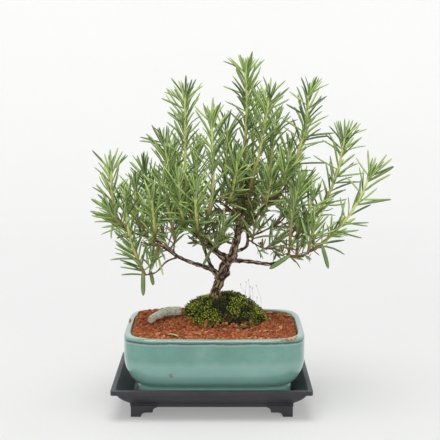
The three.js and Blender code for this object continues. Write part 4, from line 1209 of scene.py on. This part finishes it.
def make_moss():
    """A mound set all over with tufts, green and drab in patches, with painted shade on the mound, the low
    tufts and the gaps, and painted light on the proud tufts and the left side.
    """
    dice = random.Random(23)
    forms = [tuft_form(6, 32), tuft_form(5, 50), tuft_form(7, 42)]
    bpy.ops.mesh.primitive_uv_sphere_add(segments=64, ring_count=40, radius=1, location=(0, 0, 0))
    mound = bpy.context.object
    mound.name = "moss_mound"
    for corner in mound.data.vertices:
        corner.co = at(moss_spot(corner.co.copy(), MOUND_DEPTH)[0])
    # The mound is painted near black, as the shade under the tufts.
    record_growth(mound.data, [0.02, 0.1, 0.3, 1] * len(mound.data.vertices))
    copies = []
    for i in range(MOSS_TUFTS):
        proud = i % PROUD_EVERY == 0
        depths, lengths = PROUD_TUFT if proud else LOW_TUFT
        turn = dice.uniform(0, 2 * math.pi)
        rise = dice.uniform(-0.03, 1)
        level = math.sqrt(1 - rise ** 2)
        direction = Vector((math.cos(turn) * level, math.sin(turn) * level, rise))
        spot, outward, clump = moss_spot(direction, dice.uniform(*depths))
        tilt = Vector((dice.uniform(-1, 1), dice.uniform(-1, 1), dice.uniform(-0.2, 1))) * 0.55
        upright = (outward + tilt).to_track_quat("Z", "Y").to_matrix().to_4x4()
        size = dice.uniform(*lengths)
        spin = Matrix.Rotation(dice.uniform(0, 2 * math.pi), 4, "Z")
        matrix = Matrix.Translation(at(spot)) @ upright @ spin @ Matrix.Scale(size * MM, 4)
        # How green a tuft is: patches and chance, with painted shade where the clumps part and painted light
        # on the left side, as if lit from there.
        patch = 0.5 + 0.9 * noise.noise(direction * 3.2 + Vector((4, 1, 7)))
        left = 0.3 * max(-direction.x, 0)
        # Painted light and shade: proud tufts are made paler, low tufts darker.
        chance = dice.random() + (0.3 if proud else -0.65)
        green = clip(1.1 * patch + 0.6 * chance + 0.1 * clump + left - 0.55)
        withered = clip(1.2 * noise.noise(direction * 2.4 + Vector((1, 5, 2))), 0, 0.8)
        brown = dice.choice((0, 0, 0, 0.8)) * dice.random() + withered * 0.4
        form, lifts = dice.choice(forms)
        copies.append((form, matrix, tuft_growth(lifts, 0.1, green, min(brown, 1))))
    for _ in range(SPILLED_TUFTS):
        x, y = (dice.gauss(middle, spread) for middle, spread in zip(MOSS_SPILL, SPILL_SPREAD))
        spot = (x, y, MOSS_SPILL[2] + dice.uniform(-0.6, 0.4))
        matrix = Matrix.Translation(at(spot)) @ Matrix.Scale(dice.uniform(2.4, 3.8) * MM, 4)
        form, lifts = dice.choice(forms)
        green = dice.uniform(0.2, 0.9)
        copies.append((form, matrix, tuft_growth(lifts, 0, green, 0)))
    moss = join("moss_cushion", [mound, gather("moss_tufts", copies)])
    dress(moss, moss_finish())
    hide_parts("moss")


def stalk_finish():
    """Straw-pale stalks, palest at the top."""
    straw = Finish("spore_stalk", Roughness=0.7)
    place = straw.place()
    pale = straw.mix(straw.noise(place, 900, 2), paint(214, 216, 190), paint(196, 194, 164))
    top = straw.between(straw.axis(place, "Z"), STALK_PALE)
    straw.connect("Base Color", straw.over(pale, paint(224, 224, 210), top, 0.5))
    return straw.material


def make_stalks():
    """Thin spore stalks on the moss, each with a small capsule at its top."""
    stalks = []
    for i, (x, y, z) in enumerate(MOSS_STALKS):
        inside = min(moss_reach(x, y), 0.98)
        root = MOSS_BASE + MOSS_HEIGHT * (1 - inside ** 2) ** 0.4 - 3
        lean = 4 * math.sin(2.4 * i) - 2
        middle = (x - 0.9 * lean, y, (root + z) / 2)
        line = Line([(x - lean, y, root), middle, (x - 0.3 * lean, y, z - 5), (x, y, z)])
        stalks.append(draw_bar("stalk", line, lambda distance: STALK_RADIUS, 8, 4))
        top = at((x, y, z + CAPSULE_RADIUS))
        bpy.ops.mesh.primitive_ico_sphere_add(subdivisions=2, radius=CAPSULE_RADIUS * MM, location=top)
        capsule = bpy.context.object
        capsule.scale = (1, 1, 1.7)
        stalks.append(settle(capsule))
    piece = join("moss_stalks", stalks)
    smooth(piece, 60)
    dress(piece, stalk_finish())


def make_stone():
    """A bent stone, drawn as a bar and then roughened and chipped."""
    bar = Bar(STONE_POINTS)
    stone = draw_bar("bent_stone", bar.line, bar.radius, 16, 1.5)
    modify(stone, "REMESH", mode="VOXEL", voxel_size=STONE_GRID * MM)
    for corner, outward in zip(stone.data.vertices, outward_of(stone)):
        place = (corner.co - HERE) / MM
        rough = noise.fractal(place * 0.12, 0.8, 2.2, 4)
        chip = noise.cell(place * 0.09)
        corner.co += outward * (1.1 * rough - 0.4 + 0.7 * chip) * MM
    smooth(stone, 60)
    dress(stone, stone_finish())
    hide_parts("stone")


# ------------------------------------------------------------------ trunk and branches
def knobbly(bar, phase):
    """The radius along a branch, thicker and thinner by turns."""
    def radius(distance):
        knobs = 0.1 * math.sin(distance * 0.55 + phase) + 0.07 * math.sin(distance * 1.27 + 2)
        return bar.radius(distance) * (1 + knobs)
    return radius


def make_wood():
    """Trunk and branches grown into one skin, with ridges and fissures that follow each branch."""
    bars = []
    runs = []
    for name, rows in BRANCHES.items():
        bar = Bar(rows)
        radius = knobbly(bar, len(name))
        bars.append(draw_bar(name, bar.line, radius, 16, 2.5))
        runs.append((bar.line, radius))
    for *spot, size in KNOBS:
        bpy.ops.mesh.primitive_ico_sphere_add(subdivisions=3, radius=size * MM, location=at(spot))
        bars.append(settle(bpy.context.object))
    wood = join("bark_wood", bars)
    modify(wood, "REMESH", mode="VOXEL", voxel_size=WOOD_GRID * MM)
    modify(wood, "SMOOTH", factor=0.5, iterations=3)

    starts, ends, thickness, marks = [], [], [], []
    for line, radius in runs:
        for index, (start, end) in enumerate(zip(line.spots, line.spots[1:])):
            starts.append(start)
            ends.append(end)
            thickness.append(radius(line.marks[index]))
            marks.append((line.marks[index], line.marks[index + 1]))
    starts, ends = np.array(starts), np.array(ends)
    thickness, marks = np.array(thickness), np.array(marks)
    spans = ends - starts
    lengths = np.maximum((spans ** 2).sum(1), 1e-9)

    mesh = wood.data
    grain_values, growth_values = [], []
    for corner, outward in zip(mesh.vertices, outward_of(wood)):
        place = np.array((corner.co - HERE) / MM)
        share = np.clip(((place - starts) * spans).sum(1) / lengths, 0, 1)
        nearest = starts + spans * share[:, None]
        out = np.sqrt(((place - nearest) ** 2).sum(1))
        best = int(np.argmin(out - thickness))
        axis = Vector(spans[best]).normalized()
        side = axis.orthogonal() if abs(axis.y) > 0.95 else axis.cross(Vector((0, 1, 0))).normalized()
        offset = Vector(place - nearest[best])
        across, deep = offset.dot(side), offset.dot(axis.cross(side))
        mark = marks[best][0] + share[best] * (marks[best][1] - marks[best][0])
        vector = Vector((across, deep, mark + GRAIN_SHIFT * best / len(starts)))
        ridge = noise.fractal(Vector((across * 0.5, deep * 0.5, mark * 0.12)), 0.9, 2.1, 4)
        ridge = clip(0.5 + 1.1 * ridge)
        size = thickness[best]
        corner.co += outward * (ridge - 0.55) * (0.12 + 0.17 * size) * MM
        thin = clip((YOUNG_BARK[0] - size) / (YOUNG_BARK[0] - YOUNG_BARK[1]))
        low = clip((ALGAE_TOP - place[2]) / ALGAE_FADE)
        grain_values.extend(vector)
        growth_values.extend((ridge, thin, low, 1))
    mesh.attributes.new("grain", "FLOAT_VECTOR", "POINT").data.foreach_set("vector", grain_values)
    record_growth(mesh, growth_values)
    smooth(wood, 60)
    dress(wood, bark_finish())
    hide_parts("trunk_and_branches")


# ------------------------------------------------------------------ leaves and shoots
def width_at(along):
    """The width of the leaf, at a share of its length."""
    return float(np.interp(along, [row[0] for row in LEAF_ROWS], [row[1] for row in LEAF_ROWS]))


def leaf_forms():
    """The leaf, 1 wide, with its root at the middle of the scene: one form for each bend."""
    forms = []
    sides = len(LEAF_SECTION)
    for bend in LEAF_BENDS:
        bpy.ops.mesh.primitive_circle_add(vertices=sides, radius=1, fill_type="NGON", location=(0, 0, 0))
        leaf = bpy.context.object
        start, width = LEAF_ROWS[0]
        for corner, (across, up) in zip(leaf.data.vertices, LEAF_SECTION):
            corner.co = (across * width, up * width, start)
        open_all()
        for (low, width), (high, next_width) in zip(LEAF_ROWS, LEAF_ROWS[1:]):
            draw_out((high - low) * LEAF_ASPECT, (next_width / width,) * 2, (0, 0, high * LEAF_ASPECT))
        face_outward()
        close_up()
        alongs = [corner.co.z / LEAF_ASPECT for corner in leaf.data.vertices]
        unders = []
        # The outer corners are the rolled edges, marked 0.5, which the finish paints as shade; 1 marks the
        # underside.
        for corner, along in zip(leaf.data.vertices, alongs):
            outer = abs(corner.co.x) > 0.4 * width_at(along)
            unders.append(0.5 if outer else 1.0 if corner.co.y < 0 else 0.0)
        modify(leaf, "SIMPLE_DEFORM", deform_method="BEND", deform_axis="X", angle=math.radians(bend))
        bpy.ops.object.shade_smooth()
        mesh = leaf.data
        tips = [corner.co for corner, along in zip(mesh.vertices, alongs) if along > 0.99]
        chord = sum(tips, Vector()) / len(tips)
        mesh.attributes.new("growth", "FLOAT_COLOR", "POINT")
        forms.append((mesh, alongs, unders, chord))
        bpy.data.objects.remove(leaf)
    return forms


def leaf_copy(form, root, reach, upward, width, tone, age):
    """A leaf from its root over its whole reach, its upper side toward upward; lengths in millimetres."""
    mesh, alongs, unders, chord = form
    straight = reach.normalized()
    up = (upward - straight * upward.dot(straight)).normalized()
    lean = math.atan2(chord.y, chord.z)
    along = straight * math.cos(lean) - up * math.sin(lean)
    up = up * math.cos(lean) + straight * math.sin(lean)
    scale = reach.length / math.hypot(chord.y, chord.z)
    turn = Matrix((up.cross(along), up, along)).transposed().to_4x4()
    stretch = Matrix.Diagonal((width * MM, scale * MM, scale * MM, 1))
    numbers = [n for share, under in zip(alongs, unders) for n in (share, tone, age, under)]
    return mesh, Matrix.Translation(at(root)) @ turn @ stretch, {"growth": numbers}


def aside(direction, turn):
    """A direction square to a stem, turned about it."""
    toward = Vector((1, 0, 0)) if abs(direction.x) < 0.9 else Vector((0, 1, 0))
    square = (toward - direction * toward.dot(direction)).normalized()
    return Matrix.Rotation(turn, 3, direction) @ square


def fits(spot):
    """Whether the tip of a leaf may be there."""
    sides = zip(ROOM_LOW, spot, ROOM_HIGH)
    inside = all(low + ROOM_MARGIN < value < high - ROOM_MARGIN for low, value, high in sides)
    return inside and spot.z > CROWN_FLOOR


def kept_in(spot):
    """The nearest place inside the room that the plant takes up."""
    sides = zip(spot, ROOM_LOW, ROOM_HIGH)
    return Vector([clip(value, low + ROOM_MARGIN, high - ROOM_MARGIN) for value, low, high in sides])


def leaning(direction, outward, lean):
    """A stem's direction, turned outward by an angle."""
    return direction * math.cos(lean) + outward * math.sin(lean)


def root_of(line, column, row):
    """Where on a stem the leaf starts whose tip is seen at a pixel, and how far the leaf reaches."""
    best = None
    for distance in range(round(line.length) + 1):
        spot, direction = line.at(distance)
        reach = sighted(column, row, spot.y) - spot
        if reach.length < 1:
            continue
        lean = reach.angle(direction)
        misfit = abs(reach.length - SEEN_LENGTH) + LEAN_COST * max(0, lean - CLEAR_LEAN)
        if best is None or misfit < best[0]:
            best = (misfit, spot, reach, distance)
    return best[1:]


def grow_stem(name, points, line, vigour):
    """The stem of a shoot, woody at its foot; growth goes from there to the tip."""
    radii = [thin + more * vigour for thin, more in zip(STEM_RADII, MORE_RADII)]
    stem = draw_bar("stem_" + name, line, taper(radii, line), 8, 5)
    low, high = at(points[0]), at(points[-1])
    reach = (high - low).length
    numbers = []
    for corner in stem.data.vertices:
        share = (corner.co - low).length / reach * min(1, line.length / STEM_GREENS)
        numbers.extend((min(share, 1), 0.5, 0, 1))
    record_growth(stem.data, numbers)
    return stem


def pair_leaves(name, line, forms, dice):
    """Leaves in crossed pairs from the tip down, with smaller ones beside them lower on the shoot."""
    copies = []

    def leaf(spot, direction, upward, length, width, age):
        form = dice.choices(forms, weights=BEND_ODDS)[0]
        for _ in range(FIT_TRIES):
            if fits(spot + direction * length):
                break
            length *= SHORTER
        else:
            return
        copies.append(leaf_copy(form, spot, direction * length, upward, width, dice.random(), age))

    distance = FIRST_PAIR
    order = 0
    twist = math.pi / 4 + dice.uniform(-0.3, 0.3)
    while distance < line.length - LAST_PAIR:
        fallen = SPARSE_SHOOTS.get(name, OLD_FALLEN if distance > 0.5 * line.length else 0)
        if order >= KEPT_PAIRS and dice.random() < fallen:
            distance += FALLEN_GAP
            order += 1
            continue
        spot, direction = line.at(line.length - distance)
        grown = min(order / PAIRS_TO_GROW, 1)
        deep = min(distance / OLD_AFTER, 1)
        tilt = YOUNG_LEAN + MORE_LEAN * grown + OLD_LEAN * deep
        for side in (0, math.pi):
            turn = twist + order * math.pi / 2 + side + dice.uniform(-0.4, 0.4)
            outward = aside(direction, turn)
            along = leaning(direction, outward, tilt + dice.uniform(-0.18, 0.18))
            upward = direction + FRONT * dice.uniform(0, 1.1)
            length = YOUNG_LENGTH + MORE_LENGTH * grown ** 0.7
            length = length * dice.uniform(0.8, 1.14) * (1 - OLD_SHORTER * deep)
            width = (YOUNG_WIDTH + MORE_WIDTH * grown) * dice.uniform(0.8, 1.15)
            leaf(spot + outward * 0.5, along, upward, length, width, 0.05 + 0.8 * deep)
            if distance > SMALL_AFTER and dice.random() < SMALL_ODDS:
                for _ in range(dice.choice((1, 2, 3)) if distance > MORE_SMALL_AFTER else 1):
                    outward = aside(direction, turn + dice.uniform(-0.7, 0.7))
                    along = leaning(direction, outward, tilt * dice.uniform(0.25, 1))
                    upward = direction + FRONT * dice.uniform(0, 1.3)
                    length, width = dice.uniform(*SMALL_LENGTH), dice.uniform(*SMALL_WIDTH)
                    leaf(spot + outward * 0.6, along, upward, length, width, 0.05 + 0.5 * deep)
        distance += YOUNG_GAP + MORE_GAP * grown + OLD_GAP * deep
        order += 1
    return copies


def placed_leaves(name, line, forms, dice):
    """The leaves of a shoot that the tables place one by one."""
    copies = []
    for owner, root, end, width, bend in SINGLE_LEAVES:
        if owner == name:
            root = Vector(root)
            upward = LYING if bend == 0 else FRONT
            copies.append(leaf_copy(forms[bend], root, kept_in(Vector(end)) - root, upward, width, 0.3, 0.8))
    for column, row in SEEN_TIPS.get(name, ()):
        root, reach, distance = root_of(line, column, row)
        reach = kept_in(root + reach) - root
        age = 0.8 * min((line.length - distance) / OLD_AFTER, 1)
        form = dice.choice(forms[1:5])
        upward = line.at(distance)[1] + FRONT * dice.uniform(0.2, 1.5)
        width = dice.uniform(*SEEN_WIDTH)
        copies.append(leaf_copy(form, root, reach, upward, width, 0.8 * dice.random(), age))
    return copies


def leafy(name, leaves, stems, materials):
    """One piece of leaves and the stems that bear them, each with its own finish."""
    for part, material in zip((leaves, stems), materials):
        part.data.materials.append(material)
    smooth(stems, 60)
    piece = join(name, [leaves, stems])
    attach(piece, "root")
    return piece


def grow_shoot(name, points, forms, dice, materials):
    """A stem with all its leaves, in place of the solid of that shoot."""
    line = Line(points)
    vigour = min(line.length / TALL_SHOOT, 1)
    line.cut(min(TIP_SHORT, TIP_SHARE * line.length))
    stem = grow_stem(name, points, line, vigour)
    copies = pair_leaves(name, line, forms, dice) + placed_leaves(name, line, forms, dice)
    shoot = leafy("leafy_" + name, gather("leaves_" + name, copies), stem, materials)
    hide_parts("shoot_" + name)


def make_twigs(forms, dice, materials):
    """Thin brown twigs with small, old leaves."""
    bars, copies = [], []
    for name, (count, bare) in TWIGS.items():
        line = Line(BRANCHES[name])
        for i in range(count):
            share = bare + (1 - bare) * (i + dice.random()) / count
            start, direction = line.at(line.length * share)
            way = aside(direction, dice.uniform(0, 2 * math.pi)) + UPWARD * 0.5 + direction * 0.4
            way = way.normalized() * dice.uniform(*TWIG_LENGTH)
            bend = Vector([dice.uniform(-3, 3) for _ in range(3)])
            twig = Line([start, start + way * 0.5 + bend, start + way])
            bars.append(draw_bar("twig", twig, taper(TWIG_RADII, twig), 6, 4))
            for j in range(dice.randint(*TWIG_LEAVES)):
                far = TWIG_BARE + (1 - TWIG_BARE) * j / (TWIG_LEAVES[1] - 1)
                spot, along = twig.at(twig.length * far)
                outward = aside(along, dice.uniform(0, 2 * math.pi))
                reach = leaning(along, outward, dice.uniform(0.3, 1)) * dice.uniform(*TWIG_LEAF_LENGTH)
                upward = along + FRONT * dice.uniform(0, 1)
                age = dice.choice((dice.uniform(0.3, 1), 0.7, DRY))
                form = dice.choice(forms)
                width = dice.uniform(*TWIG_LEAF_WIDTH)
                copies.append(leaf_copy(form, spot, reach, upward, width, dice.random(), age))
    leaves = gather("twig_leaves", copies)
    twigs = join("twigs", bars)
    record_growth(twigs.data, [0.03, 0.5, 0, 1] * len(twigs.data.vertices))
    leafy("inner_twigs", leaves, twigs, materials)


def lay_fallen_leaves(forms, material):
    """A few leaves that lie on the gravel."""
    copies = []
    for i, (root, tip, width, age) in enumerate(FALLEN_LEAVES):
        reach = Vector(tip) - Vector(root)
        copies.append(leaf_copy(forms[i % 3], Vector(root), reach, LYING, width, 0.8, age))
    dress(gather("fallen_leaves", copies), material)


def make_shoots():
    """All that is green above the moss."""
    dice = random.Random(5)
    forms = leaf_forms()
    materials = (leaf_finish(), stem_finish())
    lay_fallen_leaves(forms, materials[0])
    for name, points in SHOOTS.items():
        grow_shoot(name, points, forms, dice, materials)
    make_twigs(forms, dice, materials)


# ------------------------------------------------------------------ assembly
def dress_node(name, material):
    """Gives a CAD node that stays as it is its finish."""
    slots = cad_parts[name].data.materials
    for index in range(len(slots)):
        slots[index] = material


set_camera()
set_light()
lay_floor()
make_tray()
make_pot()
mesh_black = screen_finish()
dress_node("drain_screen_left", mesh_black)
dress_node("drain_screen_right", mesh_black)
dress_node("soil", soil_finish())
make_gravel()
make_moss()
make_stalks()
make_stone()
make_wood()
make_shoots()

boxes = [[list(corner) for corner in box] for box in (cad_box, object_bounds())]
